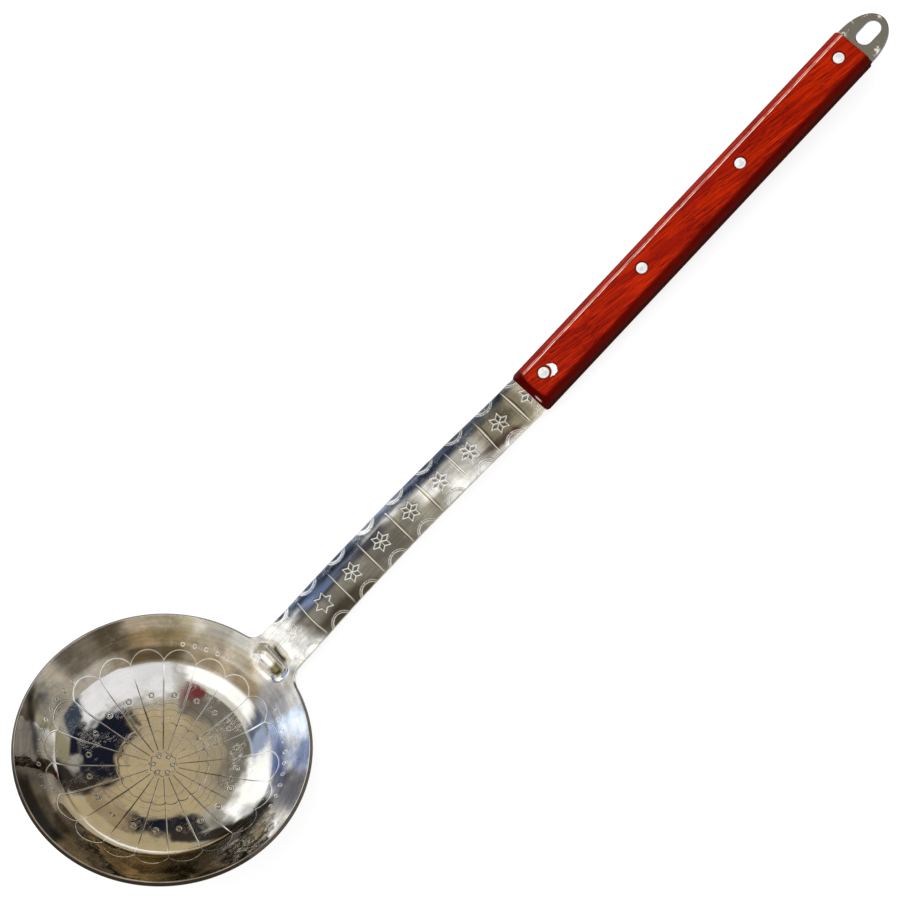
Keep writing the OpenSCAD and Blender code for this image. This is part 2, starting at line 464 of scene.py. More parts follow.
@dataclass(frozen=True)
class NeckOrnament:
    """Stamped flowers, cross chisel strokes and beaded crescents along the neck."""

    pitch: float = 16.25
    first_flower: float = 0.1
    flowers: int = 9
    plain_flower: int = 7
    tip_r: float = 4.1
    notch_r: float = 2.3
    petal_sunk: float = 0.045
    first_stroke: float = 7.4
    strokes: tuple[Stroke, ...] = (
        Stroke(-8.2, 8.5),
        Stroke(-8.5, 8.5, lean=-1.2),
        Stroke(-6.0, 7.0, force=0.55),
        Stroke(-9.5, 6.0),
        Stroke(-9.5, 6.5),
        Stroke(-9.5, 6.5),
        Stroke(-8.5, 7.0),
        Stroke(-9.0, 7.5, bow=0.6),
    )
    near_edge: Crescent = Crescent(outside=1.4, radius=4.9)
    far_edge: Crescent = Crescent(outside=2.5, radius=5.3)
    start: float = -2.0
    end: float = 134.4
    last_mark: tuple[Pair, Pair] = ((135.4, -9.8), (137.0, -7.2))
    chisel: Graver = Graver(width=0.3, deep=0.15, burr=0.3, thins=0.7, tint=0.95)
    stamp: Graver = Graver(width=0.14, deep=0.09, burr=0.35, tint=1.25)

    def cuts(self, s: Array, y: Array) -> list[Cut]:
        """Lines of the neck.

        Args:
            s: Along, from the front of the wood.
            y: Across.

        Returns:
            The cuts of the chisel and of the stamps.
        """
        marked = np.where((s > self.start) & (s < self.end), 1.0, 0.0)
        cell, x = self._cell(s)
        outline, vein, _ = self._petal_lines(x, y)
        flower = np.minimum(outline, np.where(cell == self.plain_flower, np.hypot(x, y), vein))
        flower_force = np.where(cell == self.flowers - 1, 0.4, 1.0) * marked
        moon, beads, band = self._crescents(s, x, y)
        stroke, stroke_force = self._strokes(s, y)
        return [
            Cut(self.chisel, stroke, stroke_force * marked),
            Cut(self.stamp, flower, flower_force),
            Cut(self.stamp, moon, beads * marked),
            Cut(self.stamp, band, 0.8 * marked),
            Cut(self.stamp, from_segment(s, y, *self.last_mark)),
        ]

    def petals(self, s: Array, y: Array) -> Array:
        """How far inside a stamped petal each point lies, from 0 at its outline to 1."""
        cell, x = self._cell(s)
        _, vein, inside = self._petal_lines(x, y)
        whole = (cell != self.plain_flower) & (cell < self.flowers - 1)
        stamped = whole & (s > self.start) & (s < self.end)
        return np.where(stamped, smooth_step(np.minimum(inside, vein) / 0.7), 0.0)

    def _cell(self, s: Array) -> tuple[Array, Array]:
        """Number of the nearest flower and the distance along from its middle."""
        cell = np.clip(np.round((s - self.first_flower) / self.pitch), 0, self.flowers - 1)
        return cell, s - self.first_flower - cell * self.pitch

    def _petal_lines(self, x: Array, y: Array) -> tuple[Array, Array, Array]:
        """Distances from a flower's outline and veins, and how far inside it, folded into one petal.

        Args:
            x: Along, from the middle of the flower.
            y: Across.

        Returns:
            Distances from the outline and the veins, and how far inside the outline.
        """
        r, turn = np.hypot(x, y), np.arctan2(y, x)
        fold = math.pi / 3.0
        local = np.abs(turn - np.round(turn / fold) * fold)
        px, py = r * np.cos(local), r * np.sin(local)
        tip = (self.tip_r, 0.0)
        notch = (self.notch_r * math.cos(fold / 2.0), self.notch_r * math.sin(fold / 2.0))
        run_x, run_y = tip[0] - notch[0], tip[1] - notch[1]
        inside = ((px - notch[0]) * run_y - (py - notch[1]) * run_x) / math.hypot(run_x, run_y)
        return from_segment(px, py, notch, tip), from_segment(px, py, (0.0, 0.0), notch), inside

    def _strokes(self, s: Array, y: Array) -> tuple[Array, Array]:
        """Distance from the nearest chisel stroke and its force, which fades towards both ends.

        Args:
            s: Along, from the front of the wood.
            y: Across.

        Returns:
            The distances and the forces.
        """
        index = np.clip(np.round((s - self.first_stroke) / self.pitch), 0, len(self.strokes) - 1).astype(int)
        low, high, force, lean, bow = (
            np.array([getattr(stroke, name) for stroke in self.strokes])[index]
            for name in ("low", "high", "force", "lean", "bow")
        )
        t = (2.0 * y - low - high) / (high - low)
        line = self.first_stroke + index * self.pitch + lean * t / 2.0 + bow * (1.0 - t**2)
        return np.abs(s - line), force * np.sqrt(np.clip(1.0 - t**2, 0.0, 1.0))

    def _crescents(self, s: Array, x: Array, y: Array) -> tuple[Array, Array, Array]:
        """Distance from the beaded line of a crescent, its beads, and distance from its plain line.

        Args:
            s: Along, from the front of the wood.
            x: Along, from the middle of the flower.
            y: Across.

        Returns:
            Distances from the beaded line, force of its beads, distances from the plain line.
        """
        near, far = self.near_edge, self.far_edge
        outside = np.where(y < 0.0, near.outside, far.outside)
        radius = np.where(y < 0.0, near.radius, far.radius)
        up = NECK.half_width(s) + outside - np.abs(y)
        r, turn = np.hypot(x, up), np.arctan2(up, x)
        beads = 0.65 + 0.35 * np.cos(2.0 * math.pi * radius * turn / near.bead)
        return np.abs(r - radius), beads, np.abs(r - radius + near.band)


BOWL_ORNAMENT = BowlOrnament()
NECK_ORNAMENT = NeckOrnament()


def ornament(chart: Chart, a: Array, b: Array) -> list[Cut]:
    """Cuts of the plan that the points are in."""
    return (BOWL_ORNAMENT if chart is Chart.BOWL else NECK_ORNAMENT).cuts(a, b)


def petals(chart: Chart, a: Array, b: Array) -> Array:
    """How far inside the neck's stamped petals the points lie."""
    return np.zeros_like(a) if chart is Chart.BOWL else NECK_ORNAMENT.petals(a, b)


def sunk(chart: Chart, a: Array, b: Array, engraved: bool) -> Array:
    """Depth of dimple and engraving together, under the plain sheet."""
    s = along_from_out(a) if chart is Chart.BOWL else a
    depth = DIMPLE.depth(s, b)
    if engraved:
        depth = depth + sum(cut.depth() for cut in ornament(chart, a, b))
        depth = depth + NECK_ORNAMENT.petal_sunk * petals(chart, a, b)
    return depth


def normals_of(place: Callable[[Array, Array], Array], a: Array, b: Array, step: float) -> Array:
    """Upward normals of a surface given as a function of two plan coordinates."""
    along = place(a + step, b) - place(a - step, b)
    across = place(a, b + step) - place(a, b - step)
    n = unit(np.cross(along, across))
    return n * np.where(n[:, 2:3] < 0.0, -1.0, 1.0)


def top_face(chart: Chart, a: Array, b: Array, engraved: bool = True) -> Array:
    """Points of the finished top face, dimple and engraving cut in."""
    plain = plain_sheet(chart, a, b)
    flat = normals_of(lambda p, q: plain_sheet(chart, p, q), a, b, PLAIN_STEP)
    return plain - flat * sunk(chart, a, b, engraved)[:, None]


# Mesh drawn point by point, for a sheet that no operator can engrave


class Draft:
    """Points, normals, marks and faces of a piece while it is drawn."""

    MARKS = ("groove", "petal", "upper")

    def __init__(self) -> None:
        """Starts with nothing drawn."""
        self.points: list[Array] = []
        self.normals: list[Array] = []
        self.marks: list[Array] = []
        self.faces: list[tuple[int, ...]] = []
        self.count = 0

    def add(self, points: Array, normals: Array, marks: Array | None = None) -> Array:
        """Adds points.

        Args:
            points: Rows of x, y, z of the level handle, in mm.
            normals: Their normals.
            marks: Rows of the values named in MARKS, or None for plain metal.

        Returns:
            The numbers of the new points.
        """
        self.points.append(points)
        self.normals.append(unit(np.asarray(normals, float)))
        self.marks.append(np.zeros((len(points), len(self.MARKS))) if marks is None else marks)
        numbers = np.arange(self.count, self.count + len(points))
        self.count += len(points)
        return numbers

    def bridge(self, lower: Sequence[int], upper: Sequence[int]) -> None:
        """Joins two closed rows of the same length with quads."""
        for i in range(len(lower)):
            j = (i + 1) % len(lower)
            self.faces.append((lower[i], lower[j], upper[j], upper[i]))

    def finish(self, name: str) -> Piece:
        """Turns the draft into an object on the table, with its drawn normals and marks.

        Args:
            name: Name of the object.

        Returns:
            The object.
        """
        mesh = bpy.data.meshes.new(name)
        mesh.from_pydata([tuple(p) for p in REST.place(np.concatenate(self.points))], [], self.faces)
        mesh.validate()
        mesh.polygons.foreach_set("use_smooth", [True] * len(mesh.polygons))
        marks = np.concatenate(self.marks)
        for column, mark in enumerate(self.MARKS):
            mesh.attributes.new(mark, "FLOAT", "POINT").data.foreach_set("value", marks[:, column].copy())
        normals = REST.turn(np.concatenate(self.normals))
        mesh.normals_split_custom_set_from_vertices([tuple(n) for n in normals])
        piece = bpy.data.objects.new(name, mesh)
        bpy.context.scene.collection.objects.link(piece)
        return piece


@dataclass
class PressedSteel:
    """Bowl, neck, tang and hang tab, pressed from one sheet."""

    edge: float = 0.45
    columns: int = 200
    sector_columns: int = 16
    corner_r: float = 6.0
    corner_along: float = 138.0
    bowl_rows: int = 35
    corner_rows: int = 6
    neck_rows: int = 115
    tang_rows: int = 12
    single_rows: int = 6
    double_rows: int = 14
    first_wide: int = 4
    fine: int = 16
    coarse_cell: float = 1.9
    fine_cell: float = 0.19
    line_cell: float = 0.8
    line_near: float = 0.36
    tang_end: float = 182.3
    tail: float = 200.7
    wood_end: float = 184.3
    tab_fullness: float = 2.4
    slot_at: float = 192.4
    slot_width: float = 6.7
    slot_length: float = 11.2
    nose_steps: int = 48
    tab_rows: int = 6

    def __post_init__(self) -> None:
        """Works out the round corners between neck and lip."""
        half = float(NECK.half_width(np.array([self.corner_along]))[0])
        self.corner_y = half + self.corner_r
        self.corner_out = math.sqrt((BOWL.lip_r + self.corner_r) ** 2 - self.corner_y**2)
        self.sector = math.atan2(self.corner_y, self.corner_out)
        self.corner_s = float(along_from_out(np.array([self.corner_out]))[0])
        self.inset = self.edge * math.cos(BOWL.wall)
        self.total_rows = self.bowl_rows + self.corner_rows + self.neck_rows + self.tang_rows

    def turn_at(self, u: Array) -> Array:
        """Angle of column u, counted from one side of the neck's sector round the bowl."""
        rest = self.columns - self.sector_columns
        inside = -self.sector + 2.0 * self.sector * u / self.sector_columns
        outside = self.sector + (2.0 * math.pi - 2.0 * self.sector) * (u - self.sector_columns) / rest
        return np.where(u <= self.sector_columns, inside, outside)

    def plan(self, u: Array, v: Array) -> tuple[Array, Array, Array]:
        """Plan coordinates of grid places.

        Args:
            u: Columns, round the bowl or across the neck.
            v: Rows, from the middle of the bowl to the tail.

        Returns:
            Whether each place is drawn in the neck's plan, and its two coordinates there.
        """
        turn = self.turn_at(u)
        lip = BOWL.lip_r - self.inset
        r = lip * np.minimum(v, self.bowl_rows) / self.bowl_rows
        out, y = r * np.cos(turn), r * np.sin(turn)
        side = np.clip(2.0 * u / self.sector_columns - 1.0, -1.0, 1.0)
        q = np.clip((v - self.bowl_rows) / self.corner_rows, 0.0, 1.0)
        neck_half = NECK.half_width(np.full_like(v, self.corner_s)) - self.edge
        straight_out = out + (self.corner_out - out) * q
        straight_y = y + (side * neck_half - y) * q
        start = math.atan2(-self.corner_y, -self.corner_out)
        swing = start + (-math.pi / 2.0 - start) * q
        round_r = self.corner_r + self.inset
        arc_out = self.corner_out + round_r * np.cos(swing)
        arc_y = self.corner_y + (self.corner_r + self.edge * q + self.inset * (1.0 - q)) * np.sin(swing)
        edge_out = lip * math.cos(self.sector) * (1.0 - q) + self.corner_out * q
        edge_y = lip * math.sin(self.sector) * (1.0 - q) + neck_half * q
        pull = np.abs(side) ** 3
        corner_out = straight_out + pull * (arc_out - edge_out)
        corner_y = straight_y + pull * np.sign(side) * (arc_y - edge_y)
        w = v - self.bowl_rows - self.corner_rows
        s_neck = self.corner_s * (1.0 - w / self.neck_rows)
        s_tang = -self.tang_end * (w - self.neck_rows) / self.tang_rows
        s_strip = np.where(w <= self.neck_rows, s_neck, s_tang)
        s = np.where(w <= 0.0, along_from_out(corner_out), s_strip)
        across = np.where(w <= 0.0, corner_y, side * (NECK.half_width(s) - self.edge))
        on_neck = v > self.bowl_rows
        return on_neck, np.where(on_neck, s, out), np.where(on_neck, across, y)

    def face_points(self, u: Array, v: Array, engraved: bool) -> tuple[Array, Array, Array]:
        """Points, upward normals and marks of the top face at grid places.

        Args:
            u: Columns of the grid places.
            v: Rows of the grid places.
            engraved: Whether the ornament is cut in.

        Returns:
            Rows of points, of normals and of marks.
        """
        on_neck, a, b = self.plan(u, v)
        points, normals, marks = (np.zeros((len(u), 3)) for _ in range(3))
        for chart, mask in ((Chart.NECK, on_neck), (Chart.BOWL, ~on_neck)):
            if not mask.any():
                continue
            p, q = a[mask], b[mask]
            points[mask] = top_face(chart, p, q, engraved)
            normals[mask] = normals_of(lambda i, j: top_face(chart, i, j, engraved), p, q, CUT_STEP)
            if engraved:
                cuts = ornament(chart, p, q)
                struck = sum(cut.force * bell(cut.away, cut.tool.tint * cut.tool.width) for cut in cuts)
                columns = [np.minimum(struck, 1.0), petals(chart, p, q), np.ones(len(p))]
                marks[mask] = np.stack(columns, axis=1)
        return points, normals, marks

    def first_cells(self) -> Array:
        """Cells before any is split, as rows of u, v, width and height in fine steps."""
        f = self.fine
        cells = []
        for row in range(self.total_rows):
            last = self.columns if row < self.bowl_rows else self.sector_columns
            cells += [(u * f, row * f, self.first_wide * f, f) for u in range(0, last, self.first_wide)]
        return np.array(cells)

    def split_cells(self) -> Array:
        """Splits the cells until they are small enough, and very small along engraved lines."""
        cells, done = self.first_cells(), []
        while len(cells):
            u0, v0, du, dv = (cells[:, k] / float(self.fine) for k in range(4))
            wide = self._gap(u0, v0 + dv / 2, u0 + du, v0 + dv / 2)
            high = self._gap(u0 + du / 2, v0, u0 + du / 2, v0 + dv)
            near, steep_u, steep_v = self._engraving_near(u0, v0, du, dv, wide, high)
            hidden = v0 >= self.total_rows - self.tang_rows
            cut_u = (wide > self._limit(near, steep_u)) & (cells[:, 2] > 1) & ~hidden
            cut_v = (high > self._limit(near, steep_v)) & (cells[:, 3] > 1) & ~hidden
            keep = ~(cut_u | cut_v)
            done.append(cells[keep])
            cells = self._halves(cells[~keep], cut_u[~keep], cut_v[~keep])
        return np.concatenate(done)

    def _limit(self, near: Array, steep: Array) -> Array:
        """Largest size allowed for cells that meet a line with the given squareness."""
        fine = np.minimum(self.fine_cell / np.maximum(steep, 0.2), self.line_cell)
        return np.where(near, fine, self.coarse_cell)

    def _away(self, u: Array, v: Array) -> Array:
        """Distance in mm of grid places from the nearest engraved line or stamped petal."""
        on_neck, a, b = self.plan(u, v)
        away = np.full(len(u), FAR)
        for chart, mask in ((Chart.NECK, on_neck), (Chart.BOWL, ~on_neck)):
            if mask.any():
                for cut in ornament(chart, a[mask], b[mask]):
                    away[mask] = np.minimum(away[mask], cut.reach())
        return away

    def _engraving_near(
        self, u0: Array, v0: Array, du: Array, dv: Array, wide: Array, high: Array
    ) -> tuple[Array, Array, Array]:
        """Looks for engraved lines in and around cells.

        Args:
            u0: First column of each cell.
            v0: First row of each cell.
            du: Columns that each cell spans.
            dv: Rows that each cell spans.
            wide: Width of each cell in mm.
            high: Height of each cell in mm.

        Returns:
            Whether a line is near, and how squarely it is crossed along u and along v.
        """
        u, v = u0 + du / 2, v0 + dv / 2
        near = self._away(u, v) < self.line_near + 0.5 * np.hypot(wide, high)
        tiny = 0.02
        change_u = self._away(u + tiny * du, v) - self._away(u - tiny * du, v)
        change_v = self._away(u, v + tiny * dv) - self._away(u, v - tiny * dv)
        steep_u = np.abs(change_u) / np.maximum(2 * tiny * wide, 1e-9)
        steep_v = np.abs(change_v) / np.maximum(2 * tiny * high, 1e-9)
        return near, steep_u, steep_v

    def _gap(self, u0: Array, v0: Array, u1: Array, v1: Array) -> Array:
        """Length in mm between pairs of grid places, measured in the plan."""
        on0, a0, b0 = self.plan(u0, v0)
        on1, a1, b1 = self.plan(u1, v1)
        a0 = np.where(on0 & ~on1, out_from_along(a0), a0)
        a1 = np.where(on1 & ~on0, out_from_along(a1), a1)
        return np.hypot(a1 - a0, b1 - b0)

    def _halves(self, cells: Array, cut_u: Array, cut_v: Array) -> Array:
        """Cells cut in two or four.

        Args:
            cells: Rows of u, v, width and height in fine steps.
            cut_u: Which cells to cut across their width.
            cut_v: Which to cut across their height.

        Returns:
            The smaller cells.
        """
        for column in (2, 3):
            cut = cut_u if column == 2 else cut_v
            cells = cells.copy()
            cells[cut, column] //= 2
            other = cells[cut].copy()
            other[:, column - 2] += other[:, column]
            cells = np.concatenate([cells, other])
            cut_v = np.concatenate([cut_v, cut_v[cut]]) if column == 2 else cut_v
        return cells

    def key(self, u: int, v: int) -> Place:
        """Name of a grid place: the bowl closes on itself and its middle is one point."""
        if v == 0:
            return (0, 0)
        if v <= self.bowl_rows * self.fine:
            return (u % (self.columns * self.fine), v)
        return (u, v)

    def outline(self, spots: Sequence[Place]) -> list[Place]:
        """Grid places along the free edge, from one side of the tail round the bowl to the other."""
        lip, side = self.bowl_rows * self.fine, self.sector_columns * self.fine
        left = sorted((k for k in spots if k[0] == side and k[1] > lip), key=lambda k: -k[1])
        rim = sorted(k for k in spots if k[1] == lip and k[0] >= side)
        right = sorted((k for k in spots if k[0] == 0 and k[1] > lip), key=lambda k: k[1])
        return left + rim + [(0, lip)] + right

    def cell_ring(self, cell: Array, spots: dict[Place, int]) -> list[int]:
        """Numbers of the points round one cell, those of finer neighbours included.

        Args:
            cell: Its u, v, width and height in fine steps.
            spots: Point numbers by grid place.

        Returns:
            The numbers in order round the cell.
        """
        u, v, du, dv = (int(x) for x in cell)
        walk = [(u + i, v) for i in range(du)] + [(u + du, v + i) for i in range(dv)]
        walk += [(u + du - i, v + dv) for i in range(du)] + [(u, v + dv - i) for i in range(dv)]
        ring: list[int] = []
        for place in walk:
            number = spots.get(self.key(*place))
            if number is not None and number not in ring[-1:] and number not in ring[:1]:
                ring.append(number)
        return ring

    def build(self) -> Piece:
        """Draws the whole pressing."""
        draft = Draft()
        cells = self.split_cells()
        spots = self._spots(cells)
        border = self.outline(spots)
        under_cells = self._plain_cells(self.first_cells())
        under_spots = sorted(set(self._spots(under_cells)) | set(border))
        top = self._face(draft, cells, spots, True)
        under = self._face(draft, under_cells, under_spots, False)
        tail_row = self.total_rows * self.fine
        base = [k for k in spots if k[1] == tail_row]
        self._tab_and_edges(draft, top, under, border, base)
        LOG.info("pressing: %d points, %d faces", draft.count, len(draft.faces))
        return draft.finish("pressed_steel")

    def _plain_cells(self, cells: Array) -> Array:
        """Cells of the under face, which carries no ornament."""
        out = []
        for u, v, du, dv in cells.tolist():
            row = v // self.fine
            whole = row < self.single_rows or row >= self.total_rows - self.tang_rows
            parts = 1 if whole else 2 if row < self.double_rows else 4
            out += [(u + i * du // parts, v, du // parts, dv) for i in range(parts)]
        return np.array(out)

    def _spots(self, cells: Array) -> list[Place]:
        """Names of all corners of the cells."""
        spots = set()
        for u, v, du, dv in cells.tolist():
            spots |= {self.key(u, v), self.key(u + du, v), self.key(u, v + dv), self.key(u + du, v + dv)}
        return sorted(spots)

    def _face(self, draft: Draft, cells: Array, spots: Sequence[Place], upper: bool) -> dict[Place, int]:
        """Draws the engraved top face or the plain under face.

        Args:
            draft: Where to draw.
            cells: Rows of u, v, width and height in fine steps.
            spots: Grid places of its points.
            upper: Whether it is the top face.

        Returns:
            Point numbers by grid place.
        """
        uv = np.array(spots, float) / self.fine
        points, normals, marks = self.face_points(uv[:, 0], uv[:, 1], upper)
        if not upper:
            points, normals = points - normals * SHEET, -normals
        numbers = dict(zip(spots, draft.add(points, normals, marks).tolist()))
        for cell in cells:
            ring = self.cell_ring(cell, numbers)
            if len(ring) > 2:
                draft.faces.append(tuple(ring[::-1] if upper else ring))
        return numbers

    def _tab_loops(self, base: Sequence[Place]) -> tuple[Array, Array]:
        """Outer loop behind the last row, inset by the edge rounding, and the slot for every outer point.

        Args:
            base: Grid places of the last row, where the tab starts.

        Returns:
            The outer loop and the slot, point for point.
        """
        t = np.linspace(0.0, math.pi, self.nose_steps + 1)
        half = NECK.tang_width / 2.0
        x = np.sin(t)
        y = np.sign(np.cos(t)) * half * np.sqrt(np.maximum(1.0 - x**self.tab_fullness, 0.0))
        line = np.stack([self.wood_end + (self.tail - self.wood_end) * x, y], axis=1)
        ahead = np.gradient(line, axis=0)
        outward = unit(np.stack([-ahead[:, 1], ahead[:, 0]], axis=1))
        outward[0], outward[-1] = (0.0, 1.0), (0.0, -1.0)
        side = np.array([k[0] for k in base]) / self.fine / self.sector_columns * 2.0 - 1.0
        row = np.stack([np.full(len(base), self.tang_end), side * (half - self.edge)], axis=1)
        loop = np.concatenate([row, line - outward * self.edge])
        core = (self.slot_length - self.slot_width) / 2.0
        on_core = np.clip(loop[:, 0], self.slot_at - core, self.slot_at + core)
        nearest = np.stack([on_core, np.zeros(len(loop))], axis=1)
        return loop, nearest + unit(loop - nearest) * (self.slot_width / 2.0 + self.edge)

    def _tab_and_edges(
        self, draft: Draft, top: dict[Place, int], under: dict[Place, int],
        border: Sequence[Place], base: Sequence[Place],
    ) -> None:
        """Draws the hang tab with its slot, then the rounded edges all round the pressing.

        Args:
            draft: Where to draw.
            top: Point numbers of the top face.
            under: Point numbers of the under face.
            border: Grid places along the free edge.
            base: Grid places of the last row, where the tab starts.
        """
        count = len(base)
        loop, slot = self._tab_loops(base)
        free, hole = {}, {}
        for upper, numbers in ((True, top), (False, under)):
            z, normal = (0.0, (0.0, 0.0, 1.0)) if upper else (-SHEET, (0.0, 0.0, -1.0))
            rows: list[list[int]] = []
            for step in range(self.tab_rows + 1):
                flat = (loop + (slot - loop) * step / self.tab_rows)[count if step == 0 else 0:]
                solid = np.concatenate([flat, np.full((len(flat), 1), z)], axis=1)
                marks = np.tile((0.0, 0.0, 1.0 if upper else 0.0), (len(flat), 1))
                known = [numbers[k] for k in base] if step == 0 else []
                rows.append(known + draft.add(solid, np.tile(normal, (len(flat), 1)), marks).tolist())
            for outer, inner in zip(rows, rows[1:]):
                draft.bridge(*((inner, outer) if upper else (outer, inner)))
            free[upper] = [numbers[k] for k in border] + rows[0][count:][::-1]
            hole[upper] = rows[-1]
        self._round_edge(draft, free[True], free[False], True)
        self._round_edge(draft, hole[True], hole[False], False)

    def _round_edge(self, draft: Draft, top: list[int], under: list[int], outer: bool) -> None:
        """Rounds the free edge between two matching loops of the top and under faces.

        Args:
            draft: Where to draw.
            top: Point numbers of the loop on the top face.
            under: Those of the loop on the under face.
            outer: Whether the loops run round the pressing, not round the slot.
        """
        points = np.concatenate(draft.points)
        up, low = points[top], points[under]
        normal = unit(up - low)
        ahead = unit(np.roll(up, -1, axis=0) - np.roll(up, 1, axis=0))
        outward = unit(np.cross(ahead, normal))
        middle = (up + low) / 2.0
        away = np.sum(outward * (middle.mean(axis=0) - middle)) > 0.0
        area = np.sum(up[:, 0] * np.roll(up[:, 1], -1) - np.roll(up[:, 0], -1) * up[:, 1]) > 0.0
        outward = outward if (area if outer else away) else -outward
        rows = [top]
        for angle, start in ((60.0, up), (30.0, up), (0.0, up), (0.0, low), (-30.0, low), (-60.0, low)):
            a = math.radians(angle)
            centre = start - normal * self.edge * (1.0 if start is up else -1.0)
            direction = outward * math.cos(a) + normal * math.sin(a)
            rows.append(draft.add(centre + direction * self.edge, direction).tolist())
        rows.append(under)
        forward = np.roll(up, -1, axis=0) - up
        turned = np.sum(np.cross(forward, normal) * outward) > 0.0
        for first, second in zip(rows, rows[1:]):
            draft.bridge(*((second, first) if turned else (first, second)))


# Pieces modelled with operators, in mm with the tang level, then set down on the table


class Bench:
    """Operators that the wooden scales and the rivets are made with."""

    SIDES = 48
    SHARP = math.radians(35.0)

    @staticmethod
    def clear() -> None:
        """Deselects everything."""
        if bpy.context.object and bpy.context.object.mode != "OBJECT":
            bpy.ops.object.mode_set(mode="OBJECT")
        bpy.ops.object.select_all(action="DESELECT")

    @staticmethod
    def pick(piece: Piece) -> None:
        """Selects one piece alone and makes it the active one."""
        Bench.clear()
        piece.select_set(True)
        bpy.context.view_layer.objects.active = piece

    @staticmethod
    def block(name: str, low: Sequence[float], high: Sequence[float]) -> Piece:
        """Adds a block between two corners.

        Args:
            name: Its name.
            low: Corner with the smallest x, y and z.
            high: The corner across from it.

        Returns:
            The block.
        """
        Bench.clear()
        middle = [(a + b) / 2.0 for a, b in zip(low, high)]
        bpy.ops.mesh.primitive_cube_add(size=1.0, location=middle)
        piece = bpy.context.object
        piece.name = name
        piece.scale = [b - a for a, b in zip(low, high)]
        bpy.ops.object.transform_apply(location=True, rotation=True, scale=True)
        return piece

    @staticmethod
    def round_bar(name: str, diameter: float, x: float, low: float, high: float) -> Piece:
        """Adds an upright round bar at x, from low to high.

        Args:
            name: Its name.
            diameter: Its diameter.
            x: Where its axis stands.
            low: Height of its foot.
            high: Height of its top.

        Returns:
            The bar.
        """
        Bench.clear()
        bpy.ops.mesh.primitive_cylinder_add(
            vertices=Bench.SIDES,
            radius=diameter / 2.0,
            depth=high - low,
            location=(x, 0.0, (low + high) / 2.0),
        )
        piece = bpy.context.object
        piece.name = name
        bpy.ops.object.transform_apply(location=True, rotation=True, scale=True)
        return piece

    @staticmethod
    def edit_edges(piece: Piece, chosen: Callable[[Vector, Vector], bool]) -> None:
        """Opens edit mode with the edges selected whose two ends pass the test."""
        spots = [v.co for v in piece.data.vertices]
        numbers = [e.index for e in piece.data.edges if chosen(*(spots[i] for i in e.vertices))]
        Bench._open(piece, "EDGE", "edges", numbers)

    @staticmethod
    def edit_faces(piece: Piece, chosen: Callable[[Vector, Vector], bool]) -> None:
        """Opens edit mode with the faces selected whose middle and normal pass the test."""
        numbers = [f.index for f in piece.data.polygons if chosen(f.center, f.normal)]
        Bench._open(piece, "FACE", "polygons", numbers)

    @staticmethod
    def _open(piece: Piece, kind: str, parts: str, numbers: Sequence[int]) -> None:
        """Opens edit mode with only some edges or faces selected.

        Args:
            piece: The piece.
            kind: Kind of element for edit mode.
            parts: Name of the mesh data that holds the elements.
            numbers: Which of them to select.
        """
        Bench.pick(piece)
        bpy.ops.object.mode_set(mode="EDIT")
        bpy.ops.mesh.select_mode(type=kind)
        bpy.ops.mesh.select_all(action="DESELECT")
        bpy.ops.object.mode_set(mode="OBJECT")
        for number in numbers:
            getattr(piece.data, parts)[number].select = True
        bpy.ops.object.mode_set(mode="EDIT")

    @staticmethod
    def bevel(width: float, segments: int) -> None:
        """Rounds the selected edges and leaves edit mode."""
        bpy.ops.mesh.bevel(offset=width, segments=segments, affect="EDGES", clamp_overlap=False)
        bpy.ops.object.mode_set(mode="OBJECT")

    @staticmethod
    def drill(piece: Piece, diameter: float, low: float, high: float) -> None:
        """Drills a hole at every rivet, from low to high."""
        bits = [Bench.round_bar("bit", diameter, x, low, high) for x in RIVETS.places()]
        for bit in bits:
            bit.select_set(True)
        bpy.context.view_layer.objects.active = bits[0]
        bpy.ops.object.join()
        Bench.modify(piece, "BOOLEAN", operation="DIFFERENCE", solver="EXACT", object=bits[0])
        bpy.data.objects.remove(bits[0])

    @staticmethod
    def modify(piece: Piece, kind: str, **settings: object) -> None:
        """Adds a modifier with its settings and applies it."""
        Bench.pick(piece)
        modifier = piece.modifiers.new(kind.lower(), kind)
        for name, value in settings.items():
            setattr(modifier, name, value)
        bpy.ops.object.modifier_apply(modifier=modifier.name)

    @staticmethod
    def copy(piece: Piece, name: str, move: Matrix) -> Piece:
        """Copies a piece with its own mesh, moved; a mirrored copy gets its faces turned out again.

        Args:
            piece: The piece to copy.
            name: Name of the copy.
            move: How the copy is moved.

        Returns:
            The copy.
        """
        twin = piece.copy()
        twin.data = piece.data.copy()
        twin.name = twin.data.name = name
        twin.data.transform(move)
        bpy.context.scene.collection.objects.link(twin)
        Bench.edit_faces(twin, lambda middle, normal: True)
        bpy.ops.mesh.normals_make_consistent(inside=False)
        bpy.ops.object.mode_set(mode="OBJECT")
        return twin

    @staticmethod
    def set_down(piece: Piece) -> None:
        """Smooths a finished piece up to its sharp edges and sets it down on the table."""
        piece.data.transform(REST.matrix())
        Bench.pick(piece)
        bpy.ops.object.shade_smooth_by_angle(angle=Bench.SHARP)
        Bench.modify(piece, "WEIGHTED_NORMAL", keep_sharp=True)


